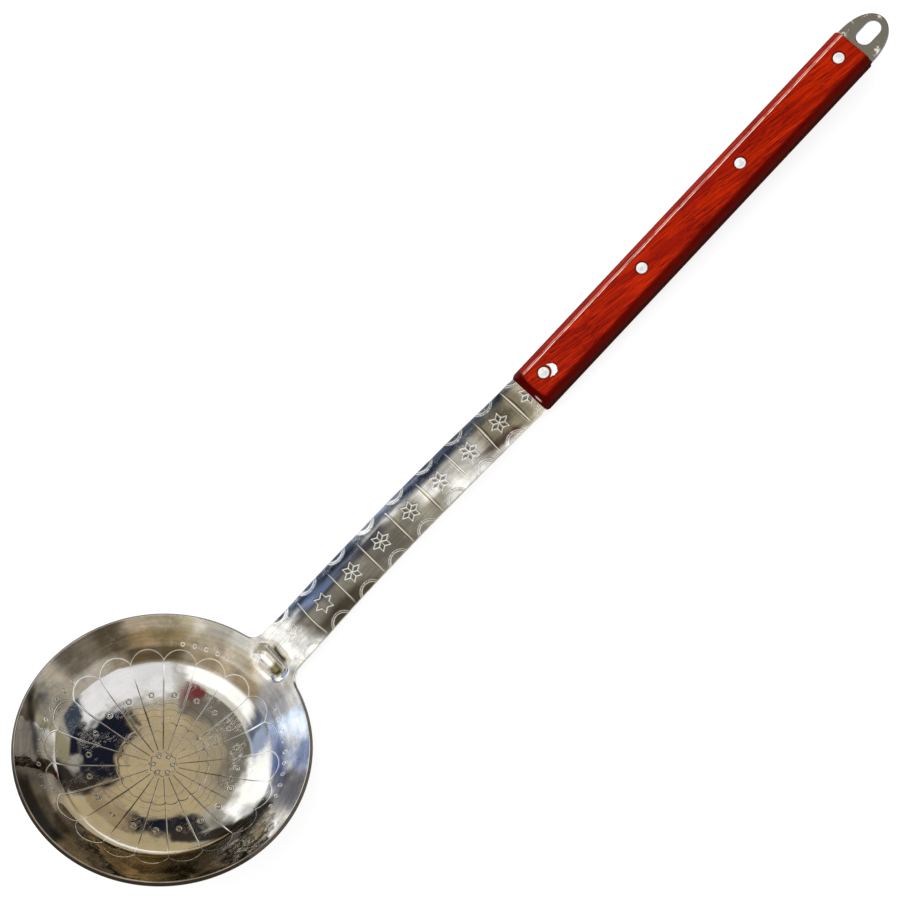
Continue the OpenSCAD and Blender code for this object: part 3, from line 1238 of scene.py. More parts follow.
@dataclass(frozen=True)
class GripScales:
    """The two wooden scales, one above the tang and its twin below."""

    length: float = 184.3
    thick: float = 4.8
    side_round: float = 3.6
    front_slope: float = 2.9
    front_round: float = 0.4
    tail_round: float = 1.2

    def build(self) -> list[Piece]:
        """Models the top scale and turns a copy of it over for the bottom one."""
        half = NECK.tang_width / 2.0
        top = Bench.block("top_wood", (0.0, -half, 0.0), (self.length, half, self.thick))
        Bench.edit_edges(top, lambda a, b: max(a.x, b.x) < NEAR and min(a.z, b.z) > self.thick - NEAR)
        bpy.ops.transform.translate(value=(self.front_slope, 0.0, 0.0))
        Bench.edit_edges(top, self._is_long_edge)
        Bench.bevel(self.side_round, 12)
        Bench.edit_edges(top, lambda a, b: self._on_front(a) and self._on_front(b) and max(a.z, b.z) > NEAR)
        Bench.bevel(self.front_round, 3)
        Bench.edit_edges(top, lambda a, b: min(a.x, b.x) > self.length - TOUCH and max(a.z, b.z) > NEAR)
        Bench.bevel(self.tail_round, 5)
        Bench.drill(top, RIVETS.seat_d, RIVETS.head_top - RIVETS.head_high, self.thick + 1.0)
        Bench.drill(top, RIVETS.bore_d, -1.0, self.thick + 1.0)
        over = Matrix.Translation((0.0, 0.0, -SHEET)) @ Matrix.Scale(-1.0, 4, (0.0, 0.0, 1.0))
        bottom = Bench.copy(top, "bottom_wood", over)
        for piece in (top, bottom):
            Bench.set_down(piece)
        return [top, bottom]

    def _is_long_edge(self, a: Vector, b: Vector) -> bool:
        """Whether an edge runs along the upper side."""
        return abs(a.x - b.x) > self.length / 2.0 and min(a.z, b.z) > self.thick - NEAR

    def _on_front(self, corner: Vector) -> bool:
        """Whether a corner lies on the sloping front end."""
        return abs(corner.x - self.front_slope * corner.z / self.thick) < TOUCH


@dataclass(frozen=True)
class Rivets:
    """Four solid rivets with a peened head at each end."""

    crown: float = 0.07
    rim_round: float = 0.3

    def build(self) -> list[Piece]:
        """Models one rivet and copies it to the other three places."""
        shoulder = RIVETS.head_top - RIVETS.head_high
        first = Bench.round_bar("rivet_metal_1", RIVETS.shank_d, RIVETS.first, -SHEET - shoulder, shoulder)
        for up in (1.0, -1.0):
            self._head(first, up)
        pieces = [first]
        for i in range(1, RIVETS.count):
            move = Matrix.Translation((i * RIVETS.pitch, 0.0, 0.0))
            pieces.append(Bench.copy(first, f"rivet_metal_{i + 1}", move))
        for piece in pieces:
            Bench.set_down(piece)
        return pieces

    def _head(self, rivet: Piece, up: float) -> None:
        """Spreads one end of the shank into a head with a rounded rim and a low crown.

        Args:
            rivet: The rivet.
            up: 1 for the upper end, -1 for the lower one.
        """
        middle = -SHEET / 2.0
        end = RIVETS.head_top - RIVETS.head_high + SHEET / 2.0
        centre = (RIVETS.first, 0.0, middle)
        Bench.edit_faces(rivet, lambda c, n: n.z * up > 0.9 and (c.z - middle) * up > end - NEAR)
        spread = RIVETS.head_d / RIVETS.shank_d
        bpy.ops.mesh.extrude_region_move()
        bpy.ops.transform.resize(value=(spread, spread, 1.0), center_override=centre)
        bpy.ops.mesh.extrude_region_move(TRANSFORM_OT_translate={"value": (0.0, 0.0, RIVETS.head_high * up)})
        bpy.ops.object.mode_set(mode="OBJECT")
        top = end + RIVETS.head_high - TOUCH
        Bench.edit_edges(rivet, lambda a, b: min((a.z - middle) * up, (b.z - middle) * up) > top)
        Bench.bevel(self.rim_round, 4)
        Bench.edit_faces(rivet, lambda c, n: n.z * up > 0.9 and (c.z - middle) * up > top)
        bpy.ops.mesh.inset(thickness=RIVETS.head_d / 5.0)
        bpy.ops.transform.translate(value=(0.0, 0.0, self.crown * up))
        bpy.ops.object.mode_set(mode="OBJECT")
        rivet.data.update()


# Node trees


class Graph:
    """Lays out nodes in one tree: that of a material, a group or the world."""

    def __init__(self, tree: bpy.types.NodeTree) -> None:
        """Works in the given tree."""
        self.tree = tree

    def node(self, kind: str, **settings: object) -> bpy.types.Node:
        """Adds a node with its settings."""
        node = self.tree.nodes.new("ShaderNode" + kind)
        for name, value in settings.items():
            setattr(node, name, value)
        return node

    def feed(self, socket: Socket, value: Plug) -> None:
        """Links a socket to another one, or sets its value."""
        if isinstance(value, bpy.types.NodeSocket):
            self.tree.links.new(value, socket)
        elif socket.type == "RGBA":
            socket.default_value = (*value, 1.0) if isinstance(value, tuple) else (value, value, value, 1.0)
        else:
            socket.default_value = value

    def math(self, operation: str, *values: Plug) -> Socket:
        """Works out one number from others."""
        node = self.node("Math", operation=operation)
        for socket, value in zip(node.inputs, values):
            self.feed(socket, value)
        return node.outputs[0]

    def times(self, first: Plug, second: Plug) -> Socket:
        """Product of two numbers."""
        return self.math("MULTIPLY", first, second)

    def plus(self, first: Plug, second: Plug) -> Socket:
        """Sum of two numbers."""
        return self.math("ADD", first, second)

    def minus(self, first: Plug, second: Plug) -> Socket:
        """Difference of two numbers."""
        return self.math("SUBTRACT", first, second)

    def most(self, first: Plug, second: Plug) -> Socket:
        """The larger of two numbers."""
        return self.math("MAXIMUM", first, second)

    def size(self, value: Plug) -> Socket:
        """A number without its sign."""
        return self.math("ABSOLUTE", value)

    def scaled(self, value: Plug, factor: Plug, shift: Plug) -> Socket:
        """A number times a factor, plus a shift."""
        return self.math("MULTIPLY_ADD", value, factor, shift)

    def hypot(self, x: Plug, y: Plug) -> Socket:
        """Distance from the origin."""
        return self.math("SQRT", self.plus(self.times(x, x), self.times(y, y)))

    def vector(self, operation: str, *values: Plug) -> bpy.types.Node:
        """Works with vectors."""
        node = self.node("VectorMath", operation=operation)
        for socket, value in zip(node.inputs, values):
            self.feed(socket, value)
        return node

    def dot(self, vector: Plug, axis: Sequence[float]) -> Socket:
        """Length of a vector along an axis."""
        return self.vector("DOT_PRODUCT", vector, axis).outputs["Value"]

    def combine(self, x: Plug, y: Plug, z: Plug) -> Socket:
        """Vector of three numbers."""
        node = self.node("CombineXYZ")
        for socket, value in zip(node.inputs, (x, y, z)):
            self.feed(socket, value)
        return node.outputs[0]

    def soft(self, value: Plug, low: Plug, high: Plug, start: Plug = 0.0, end: Plug = 1.0) -> Socket:
        """Soft step from start to end as the value runs from low to high."""
        node = self.node("MapRange", interpolation_type="SMOOTHSTEP")
        names = ("Value", "From Min", "From Max", "To Min", "To Max")
        for name, plug in zip(names, (value, low, high, start, end)):
            self.feed(node.inputs[name], plug)
        return node.outputs["Result"]

    def between(self, value: Plug, low: float, high: float, soft: float) -> Socket:
        """Mask of 1 between two bounds, soft over them."""
        rising = self.soft(value, low - soft, low + soft)
        return self.times(rising, self.soft(value, high - soft, high + soft, 1.0, 0.0))

    def mix(self, share: Plug, first: Plug, second: Plug, blend: str = "MIX") -> Socket:
        """Mixes two colours."""
        node = self.node("Mix", data_type="RGBA", blend_type=blend)
        self.feed(node.inputs[0], share)
        self.feed(node.inputs[6], first)
        self.feed(node.inputs[7], second)
        return node.outputs[2]

    def noise(self, place: Plug, scale: float, detail: float = 2.0, rough: float = 0.5) -> Socket:
        """Noise with features of about 1 / scale."""
        node = self.node("TexNoise")
        for name, plug in (("Vector", place), ("Scale", scale), ("Detail", detail), ("Roughness", rough)):
            self.feed(node.inputs[name], plug)
        return node.outputs["Fac"]

    def group(self, tree: bpy.types.NodeTree, **inputs: Plug) -> bpy.types.Node:
        """Places a node group with its values; a name's underscores stand for spaces."""
        node = self.node("Group", node_tree=tree)
        for name, value in inputs.items():
            self.feed(node.inputs[name.replace("_", " ")], value)
        return node

    def bump(
        self, height: Plug, distance: float, strength: Plug = 1.0, normal: Socket | None = None
    ) -> Socket:
        """Bumps a surface by a height given in metres at a value of 1."""
        node = self.node("Bump")
        self.feed(node.inputs["Height"], height)
        self.feed(node.inputs["Distance"], distance)
        self.feed(node.inputs["Strength"], strength)
        if normal:
            self.feed(node.inputs["Normal"], normal)
        return node.outputs["Normal"]


class Finish(Graph):
    """A material under construction, with its Principled shader."""

    def __init__(self, name: str, **plain: float) -> None:
        """Starts a material; plain values are the same all over the surface."""
        self.material = bpy.data.materials.new(name)
        self.material.use_nodes = True
        super().__init__(self.material.node_tree)
        self.shader = self.tree.nodes["Principled BSDF"]
        for socket, value in plain.items():
            self.shader.inputs[socket.replace("_", " ")].default_value = value
        self.place = self.node("TexCoord").outputs["Object"]

    def set(self, **sockets: Plug) -> None:
        """Feeds sockets of the shader."""
        for name, value in sockets.items():
            self.feed(self.shader.inputs[name.replace("_", " ")], value)

    def attribute(self, name: str) -> Socket:
        """A value that the mesh carries at each point."""
        return self.node("Attribute", attribute_name=name).outputs["Fac"]

    def streaks(
        self, place: Plug, fineness: Rgb, low: float, high: float, start: float = 0.0, end: float = 1.0
    ) -> Socket:
        """Long thin streaks of noise, spread from start to end as it runs from low to high."""
        values = {"From": low, "To": high, "Low": start, "High": end}
        return self.group(streak_group(), Place=place, Fineness=fineness, **values).outputs["Value"]

    def scratches(self, place: Plug, fineness: Rgb, width: float) -> Socket:
        """Mask of fine scattered scratches."""
        return self.group(scratch_group(), Place=place, Fineness=fineness, Width=width).outputs["Mask"]

    def rivet_distance(self, along: Socket, across: Socket) -> Socket:
        """Distance in mm from the middle of the nearest rivet, in a plan of the handle."""
        local = self.math("WRAP", self.minus(along, RIVETS.first), RIVETS.pitch / 2.0, -RIVETS.pitch / 2.0)
        return self.hypot(local, across)

    def handle_places(self) -> tuple[Socket, Socket, Socket]:
        """Places along, across and above the level handle, in mm, from the front of the wood."""
        ahead, up = REST.turn(np.eye(3))[0], REST.turn(np.eye(3))[2]
        shift = np.array([REST.shift_x, 0.0, REST.shift_z])
        along, above = (
            self.scaled(self.dot(self.place, axis), 1.0 / MM, float(-shift @ axis)) for axis in (ahead, up)
        )
        return along, self.times(self.dot(self.place, (0.0, 1.0, 0.0)), 1.0 / MM), above


def group_tree(
    name: str, inputs: dict[str, str], outputs: dict[str, str],
    fill: Callable[[Graph, bpy.types.NodeOutputs], dict[str, Socket]],
) -> bpy.types.NodeTree:
    """Builds a shader node group once.

    Args:
        name: Name of the group.
        inputs: Kinds of its inputs, by name.
        outputs: Kinds of its outputs, by name.
        fill: Lays out the nodes between them and returns a socket for each output.

    Returns:
        The group, the same one on every call.
    """
    if name in bpy.data.node_groups:
        return bpy.data.node_groups[name]
    tree = bpy.data.node_groups.new(name, "ShaderNodeTree")
    for way, sockets in (("INPUT", inputs), ("OUTPUT", outputs)):
        for label, kind in sockets.items():
            tree.interface.new_socket(label, in_out=way, socket_type="NodeSocket" + kind)
    graph = Graph(tree)
    source, target = tree.nodes.new("NodeGroupInput"), tree.nodes.new("NodeGroupOutput")
    for label, socket in fill(graph, source.outputs).items():
        graph.feed(target.inputs[label], socket)
    return tree


def card_group() -> bpy.types.NodeTree:
    """Group that lays one soft-edged patch of colour over another, on a plan of U and V."""

    def fill(graph: Graph, given: bpy.types.NodeOutputs) -> dict[str, Socket]:
        """Masks the patch along U, which may lean with V and wraps at 180, and along V."""
        off_v = graph.minus(given["V"], given["V Middle"])
        middle = graph.scaled(off_v, given["Lean"], given["U Middle"])
        off_u = graph.math("WRAP", graph.minus(given["U"], middle), 180.0, -180.0)
        masks = []
        for off, way in ((off_u, "U"), (off_v, "V")):
            half, soft = given[way + " Half"], given[way + " Soft"]
            low, high = graph.minus(half, soft), graph.plus(half, soft)
            masks.append(graph.soft(graph.size(off), low, high, 1.0, 0.0))
        mask = graph.times(graph.times(*masks), given["Strength"])
        return {"Color": graph.mix(mask, given["Under"], given["Color"])}

    numbers = ("U", "V", "U Middle", "U Half", "U Soft", "V Middle", "V Half", "V Soft", "Lean", "Strength")
    inputs = {"Under": "Color", "Color": "Color"} | dict.fromkeys(numbers, "Float")
    return group_tree("soft_card", inputs, {"Color": "Color"}, fill)


def streak_group() -> bpy.types.NodeTree:
    """Group of long thin streaks, for wood grain and for brushed metal."""

    def fill(graph: Graph, given: bpy.types.NodeOutputs) -> dict[str, Socket]:
        """Noise on a stretched place, spread between Low and High."""
        place = graph.vector("MULTIPLY", given["Place"], given["Fineness"]).outputs["Vector"]
        fac = graph.noise(place, 1.0, 4.0, 0.6)
        return {"Value": graph.soft(fac, given["From"], given["To"], given["Low"], given["High"])}

    inputs = dict.fromkeys(("Place", "Fineness"), "Vector")
    inputs |= dict.fromkeys(("From", "To", "Low", "High"), "Float")
    return group_tree("streaks", inputs, {"Value": "Float"}, fill)


def scratch_group() -> bpy.types.NodeTree:
    """Group of fine scattered scratches, for bare metal."""

    def fill(graph: Graph, given: bpy.types.NodeOutputs) -> dict[str, Socket]:
        """Thin contour lines of stretched noise, kept only in patches."""
        place = graph.vector("MULTIPLY", given["Place"], given["Fineness"]).outputs["Vector"]
        level = graph.size(graph.minus(graph.noise(place, 1.0, 1.0), 0.5))
        line = graph.soft(level, 0.0, given["Width"], 1.0, 0.0)
        patch = graph.soft(graph.noise(given["Place"], 0.12, 2.0), 0.45, 0.65)
        return {"Mask": graph.times(line, patch)}

    inputs = {"Place": "Vector", "Fineness": "Vector", "Width": "Float"}
    return group_tree("scratches", inputs, {"Mask": "Float"}, fill)


@dataclass(frozen=True)
class Card:
    """One soft patch of tone on a plan of U and V.

    In the room U and V are turn and tilt in degrees, in the bowl turn in degrees and radius in mm, and on
    the neck along and across in mm.
    """

    u: Pair
    v: Pair
    color: Rgb
    soft: Pair = (5.0, 1.5)
    lean: float = 0.0
    strength: float = 1.0

    def lay(self, graph: Graph, u: Socket, v: Socket, under: Plug) -> Socket:
        """Lays the card over a colour.

        Args:
            graph: Tree to work in.
            u: First coordinate of each place.
            v: Second coordinate.
            under: Colour so far.

        Returns:
            The colour after this card.
        """
        (low_u, high_u), (low_v, high_v) = self.u, self.v
        node = graph.group(
            card_group(), Under=under, Color=self.color, U=u, V=v, Lean=self.lean, Strength=self.strength,
            U_Middle=(low_u + high_u) / 2.0, U_Half=(high_u - low_u) / 2.0, U_Soft=self.soft[0],
            V_Middle=(low_v + high_v) / 2.0, V_Half=(high_v - low_v) / 2.0, V_Soft=self.soft[1],
        )
        return node.outputs["Color"]


# Finishes


@dataclass(frozen=True)
class SteelSpot:
    """Where a point of the pressing lies, in the bowl's plan and in the neck's.

    Along runs in mm from the front of the wood towards the bowl and across over it; turn, in degrees, and
    radius, in mm, go round the bowl. Streaks follow strip_place on the neck and ring_place round the bowl.
    """

    along: Socket
    across: Socket
    turn: Socket
    radius: Socket
    strip_place: Socket
    ring_place: Socket

    @classmethod
    def on(cls, g: Finish) -> "SteelSpot":
        """Works the places out from Object coordinates.

        Args:
            g: The finish in work.

        Returns:
            The places as sockets.
        """
        ahead, across, _ = g.handle_places()
        along = g.times(ahead, -1.0)
        lean = np.array([[math.cos(BOWL.tilt), 0.0, -math.sin(BOWL.tilt)]])
        axis = REST.turn(lean)[0]
        centre = REST.place(np.array([[BOWL.centre_x, 0.0, BOWL.centre_z]]))[0] / MM
        out = g.scaled(g.dot(g.place, axis), 1.0 / MM, float(-centre @ axis))
        radius = g.hypot(out, across)
        turn = g.math("DEGREES", g.math("ARCTAN2", across, out))
        shares = (g.times(g.math("DIVIDE", way, radius), 3.0) for way in (out, across))
        ring_place = g.combine(*shares, g.times(radius, 0.9))
        return cls(along, across, turn, radius, g.combine(along, across, 0.0), ring_place)


@dataclass(frozen=True)
class PolishedSteel:
    """Hand-polished stainless steel with painted reflections in soft patches, and engraving stained brown in
    the dish and painted as highlights elsewhere.
    """

    clean: Rgb = (0.75, 0.74, 0.71)
    line_brown: Rgb = (0.06, 0.034, 0.014)
    # Painted highlight of the engraved lines outside the dish.
    line_highlight: Rgb = (0.97, 0.96, 0.93)
    tab: Rgb = (0.2, 0.185, 0.15)
    tang: Rgb = (0.05, 0.02, 0.008)
    # Painted reflections: the tones the bowl mirrors, laid into its colour by turn and radius.
    bowl_reflections: tuple[Card, ...] = (
        Card((-16, 37), (41, 46.4), (0.34, 0.28, 0.2), (6, 1.2)),
        Card((2, 38), (46, 51.5), (0.6, 0.53, 0.43), (6, 1.5)),
        Card((38, 68), (41, 46.6), (0.2, 0.17, 0.125), (5, 1.2)),
        Card((39, 70), (46.4, 51.8), (0.44, 0.37, 0.26)),
        Card((68, 99), (46.3, 60), (0.3, 0.27, 0.23)),
        Card((112, 150), (50.5, 60), (0.25, 0.23, 0.2)),
        Card((129, 176), (41.2, 60), (0.3, 0.265, 0.21), (4, 0.8)),
        Card((128, 176), (47.5, 60), (0.15, 0.135, 0.11), (4, 2)),
        Card((125.5, 132.5), (44.5, 55.5), (0.03, 0.028, 0.03), (3, 1.5), lean=-2.75, strength=0.8),
        Card((143, 172), (45.5, 60), (0.1, 0.085, 0.062)),
        Card((147, 176), (38.6, 42), (0.1, 0.085, 0.065), (6, 1.2)),
        Card((160, 276), (38.7, 43), (0.36, 0.29, 0.175), (8, 0.6)),
        Card((158, 200), (40.6, 60), (0.28, 0.225, 0.15), (5, 0.8)),
        Card((158, 189), (46, 60), (0.07, 0.053, 0.03), (6, 1.5)),
        Card((150, 186), (51, 60), (0.012, 0.009, 0.005)),
        Card((188, 236), (40.4, 60), (0.4, 0.32, 0.2), (6, 0.8)),
        Card((228, 264), (40.6, 60), (0.14, 0.115, 0.08), (6, 0.8)),
        Card((233, 262), (46.5, 60), (0.17, 0.13, 0.085)),
        Card((258, 281), (41, 60), (0.1, 0.085, 0.065), (4, 0.8)),
        Card((263, 281), (46, 51.5), (0.3, 0.28, 0.24), (3, 1.5)),
        Card((264, 277), (30, 37), (0.42, 0.4, 0.37), (4, 2)),
        Card((279, 291), (36.5, 41), (0.4, 0.4, 0.4), (4, 1.5)),
        Card((278, 293), (40.5, 46.5), (0.08, 0.08, 0.078), (4, 1.2)),
        Card((276, 292), (46, 51.5), (0.52, 0.5, 0.47), (4, 1.5)),
        Card((292, 310), (46, 60), (0.22, 0.21, 0.22), (4, 1.5)),
        Card((308, 322), (50.8, 60), (0.38, 0.4, 0.46), (4, 1.5)),
        Card((308, 350), (41, 45.8), (0.36, 0.38, 0.43), (5, 1.2)),
        Card((298, 328), (43, 47), (0.1, 0.13, 0.28), (5, 1.2), strength=0.6),
        Card((337, 354), (45, 51.5), (0.4, 0.4, 0.42), (4, 1.5)),
    )
    # Painted reflections along the neck, with painted shade in the crease and the dimple.
    neck_reflections: tuple[Card, ...] = (
        Card((-6, 27), (-7.4, 11), (0.29, 0.26, 0.19), (5, 1)),
        Card((-6, 12), (-12, -7), (0.4, 0.36, 0.28), (4, 1)),
        Card((-6, 48), (6.6, 12), (0.13, 0.13, 0.12), (5, 1)),
        Card((-6, 60), (8.4, 12), (0.24, 0.25, 0.28), (5, 0.6)),
        Card((90, 118), (8.4, 12), (0.5, 0.54, 0.64), (5, 0.6)),
        Card((13, 27), (-7.2, -4.2), (0.08, 0.03, 0.035), (3, 1), lean=2.6, strength=0.7),
        Card((32, 66), (3.8, 8.2), (0.2, 0.21, 0.25), (4, 1.2)),
        Card((50, 82), (-11, -2.6), (0.22, 0.205, 0.155), lean=-1),
        Card((58, 90), (-11, 4), (0.22, 0.205, 0.16)),
        Card((70, 126), (-11, 3.6), (0.14, 0.128, 0.102), (4, 1.2), lean=0.4),
        Card((80, 118), (-2.4, 1.8), (0.17, 0.158, 0.128), (8, 1)),
        Card((74, 126), (1.6, 5.4), (0.062, 0.06, 0.065), (4, 1)),
        Card((88, 120), (4.6, 7.8), (0.12, 0.135, 0.19), (5, 1)),
        Card((92, 122), (-12, -4.4), (0.045, 0.038, 0.024), (6, 1.6), lean=1),
        Card((104, 121), (3, 8), (0.13, 0.18, 0.3), (5, 1), lean=1.2),
        Card((138.8, 140.6), (-4.5, 3.5), (0.06, 0.05, 0.035), (0.8, 1.2)),
        Card((143.2, 147.4), (-6.2, -0.4), (0.16, 0.135, 0.06), (1, 1.1)),
    )
    petal: Rgb = (0.06, 0.055, 0.045)
    # Painted glint of the hammer marks on one side of the wall.
    hammered: Rgb = (0.95, 0.94, 0.9)
    # Painted glint in pale flecks on the hang tab.
    rim: Rgb = (0.08, 0.065, 0.05)
    tab_glint: Rgb = (0.85, 0.84, 0.76)
    tab_wall: Rgb = (0.2, 0.2, 0.22)
    hammered_turn: Pair = (259.0, 285.0)
    hammered_r: Pair = (46.0, 55.5)
    # Radii of the painted reflections of the petal ring in the dish.
    reflected_scallop_rings: tuple[float, ...] = (13.2, 19.3, 21.9, 24.4)
    bowl_from: Pair = (141.0, 143.0)
    brown_within: Pair = (33.0, 39.0)
    neck_half_turn: Pair = (12.0, 14.0)
    rim_from: float = 55.9
    grip_from: Pair = (-0.6, 0.0)
    tab_from: Pair = (-184.6, -184.2)
    tab_glint_side: Pair = (5.2, 7.4)
    tab_glint_tip: Pair = (-198.0, -200.0)
    roughness: float = 0.045
    tab_rougher: float = 0.2
    grip_roughness: float = 0.9
    scratch_deep: float = 0.00001
    wavy: float = 0.00013
    wave_fineness: float = 110.0

    def material(self) -> bpy.types.Material:
        """Builds the material.

        Returns:
            The material of the pressing.
        """
        g = Finish("polished_steel", Metallic=1.0, Specular_IOR_Level=0.0)
        spot = SteelSpot.on(g)
        in_bowl = g.soft(spot.along, *self.bowl_from)
        upper = g.attribute("upper")
        color = self._painted_scallop_reflection(g, spot, self._hammer_glints(g, spot, self._painted_reflections(g, spot)))
        color = self._brushed(g, spot, g.mix(upper, self.clean, color), in_bowl)
        color = self._lines(g, spot, color, in_bowl)
        grip = g.soft(spot.along, *self.grip_from, 1.0, 0.0)
        tab = g.soft(spot.along, *self.tab_from, 1.0, 0.0)
        hidden = g.times(grip, g.minus(1.0, tab))
        color = g.mix(tab, g.mix(grip, color, self.tang), self._tab(g, spot, upper))
        color = g.mix(self._rim(g, spot), color, self.rim)
        scratches = g.scratches(spot.strip_place, (0.25, 2.2, 1.0), 0.012)
        waves = g.bump(g.noise(g.place, self.wave_fineness, 1.5), self.wavy)
        g.set(
            Base_Color=color,
            Roughness=self._roughness(g, scratches, tab, hidden),
            Metallic=g.minus(1.0, hidden),
            Normal=g.bump(scratches, -self.scratch_deep, 1.0, waves),
        )
        return g.material

    def _painted_reflections(self, g: Finish, spot: SteelSpot) -> Socket:
        """Lays painted reflections of the room over clean steel in the bowl and along the neck, with edges
        that stray; the neck's crease and dimple get painted shade.

        Args:
            g: The finish in work.
            spot: Where each point lies.

        Returns:
            The colour with its painted reflections.
        """
        color: Plug = self.clean
        stray = g.minus(g.noise(g.place, 60.0, 3.0), 0.5)
        for cards, plan, strays in (
            (self.bowl_reflections, (spot.turn, spot.radius), (14.0, 1.2)),
            (self.neck_reflections, (spot.along, spot.across), (6.0, 2.0)),
        ):
            u, v = (g.scaled(stray, far, way) for far, way in zip(strays, plan))
            for card in cards:
                color = card.lay(g, u, v, color)
        return color

    def _hammer_glints(self, g: Finish, spot: SteelSpot, color: Plug) -> Socket:
        """Lays painted glints of hammer marks over one side of the wall."""
        full = g.math("WRAP", spot.turn, 360.0, 0.0)
        side = g.between(full, *self.hammered_turn, 4.0)
        area = g.times(side, g.between(spot.radius, *self.hammered_r, 1.5))
        dots = g.streaks(spot.ring_place, (5.0, 5.0, 0.8), 0.44, 0.52)
        return g.mix(g.times(area, dots), color, self.hammered)

    def _painted_scallop_reflection(self, g: Finish, spot: SteelSpot, color: Plug) -> Socket:
        """Lays faint brown scallops round the heart of the flower: a painted reflection of the engraved
        petal ring.

        Args:
            g: The finish in work.
            spot: Where each point lies.
            color: Colour so far.

        Returns:
            The colour with the scallops.
        """
        ornament = BOWL_ORNAMENT
        half_turn = g.math("RADIANS", g.times(spot.turn, ornament.petals / 2.0))
        wave = g.size(g.math("SINE", g.minus(half_turn, ornament.phase * ornament.petals / 2.0)))
        bulged = g.scaled(wave, -ornament.inner_bulge, spot.radius)
        faint = g.soft(g.noise(g.place, 90.0, 2.0), 0.35, 0.65, 0.08, 0.32)
        mask: Plug = 0.0
        for ring in self.reflected_scallop_rings:
            mask = g.most(mask, g.soft(g.size(g.minus(bulged, ring)), 0.08, 0.3, 1.0, 0.0))
        return g.mix(g.times(mask, faint), color, self.line_brown)

    def _brushed(self, g: Finish, spot: SteelSpot, color: Plug, in_bowl: Socket) -> Socket:
        """Darkens fine brushed streaks along the neck and round the bowl, and smudges on the wall.

        Args:
            g: The finish in work.
            spot: Where each point lies.
            color: Colour so far.
            in_bowl: Mask of the bowl.

        Returns:
            The brushed colour.
        """
        spread = (0.3, 0.7, 0.62, 1.15)
        neck = g.streaks(spot.strip_place, (0.05, 1.5, 1.0), *spread)
        bowl = g.streaks(spot.ring_place, (1.0, 1.0, 1.0), *spread)
        share = g.mix(in_bowl, 0.45, g.soft(spot.radius, 38.0, 46.0, 0.12, 0.5))
        color = g.mix(share, color, g.mix(in_bowl, neck, bowl), "MULTIPLY")
        smudges = g.soft(g.noise(g.place, 75.0, 5.0, 0.6), 0.38, 0.62, 0.6, 1.2)
        return g.mix(g.soft(spot.radius, 40.0, 45.0, 0.2, 0.8), color, smudges, "MULTIPLY")

    def _lines(self, g: Finish, spot: SteelSpot, color: Plug, in_bowl: Socket) -> Socket:
        """Tints the engraving: stained brown in the dish, a painted highlight that makes it bright
        elsewhere, and dark petals on the neck.
        """
        color = g.mix(g.times(g.attribute("petal"), 0.65), color, self.petal)
        dish = g.times(in_bowl, g.soft(spot.radius, *self.brown_within, 1.0, 0.0))
        tone = g.mix(dish, self.line_highlight, self.line_brown)
        share = g.mix(in_bowl, 0.9, g.mix(dish, 0.6, 1.0))
        return g.mix(g.times(g.attribute("groove"), share), color, tone)

    def _tab(self, g: Finish, spot: SteelSpot, upper: Socket) -> Socket:
        """Colour of the hang tab: dull, with pale flecks of painted glint, thickest along its sides and tip.
        """
        # Painted glints, thickest along the sides and tip.
        side = g.soft(g.size(spot.across), *self.tab_glint_side)
        painted_glint = g.most(side, g.soft(spot.along, *self.tab_glint_tip))
        painted_glint = g.times(painted_glint, g.soft(g.noise(g.place, 150.0, 2.0), 0.46, 0.56, 0.35, 1.0))
        flecks = g.soft(g.scaled(painted_glint, 0.16, g.noise(g.place, 420.0, 6.0, 0.75)), 0.61, 0.72)
        return g.mix(upper, self.tab_wall, g.mix(flecks, self.tab, self.tab_glint))

    def _rim(self, g: Finish, spot: SteelSpot) -> Socket:
        """Mask of the bowl's rim, which leaves the neck out."""
        off_neck = g.soft(g.size(spot.turn), *self.neck_half_turn)
        return g.times(off_neck, g.soft(spot.radius, self.rim_from - 0.25, self.rim_from + 0.25))

    def _roughness(self, g: Finish, scratches: Socket, tab: Socket, hidden: Socket) -> Socket:
        """Uneven polish, duller on the scratches, on the tab and under the wood."""
        haze = g.soft(g.noise(g.place, 60.0, 6.0), 0.3, 0.8, 0.5 * self.roughness, 2.0 * self.roughness)
        rough = g.scaled(tab, self.tab_rougher, g.scaled(scratches, 0.12, haze))
        return g.most(rough, g.times(hidden, self.grip_roughness))


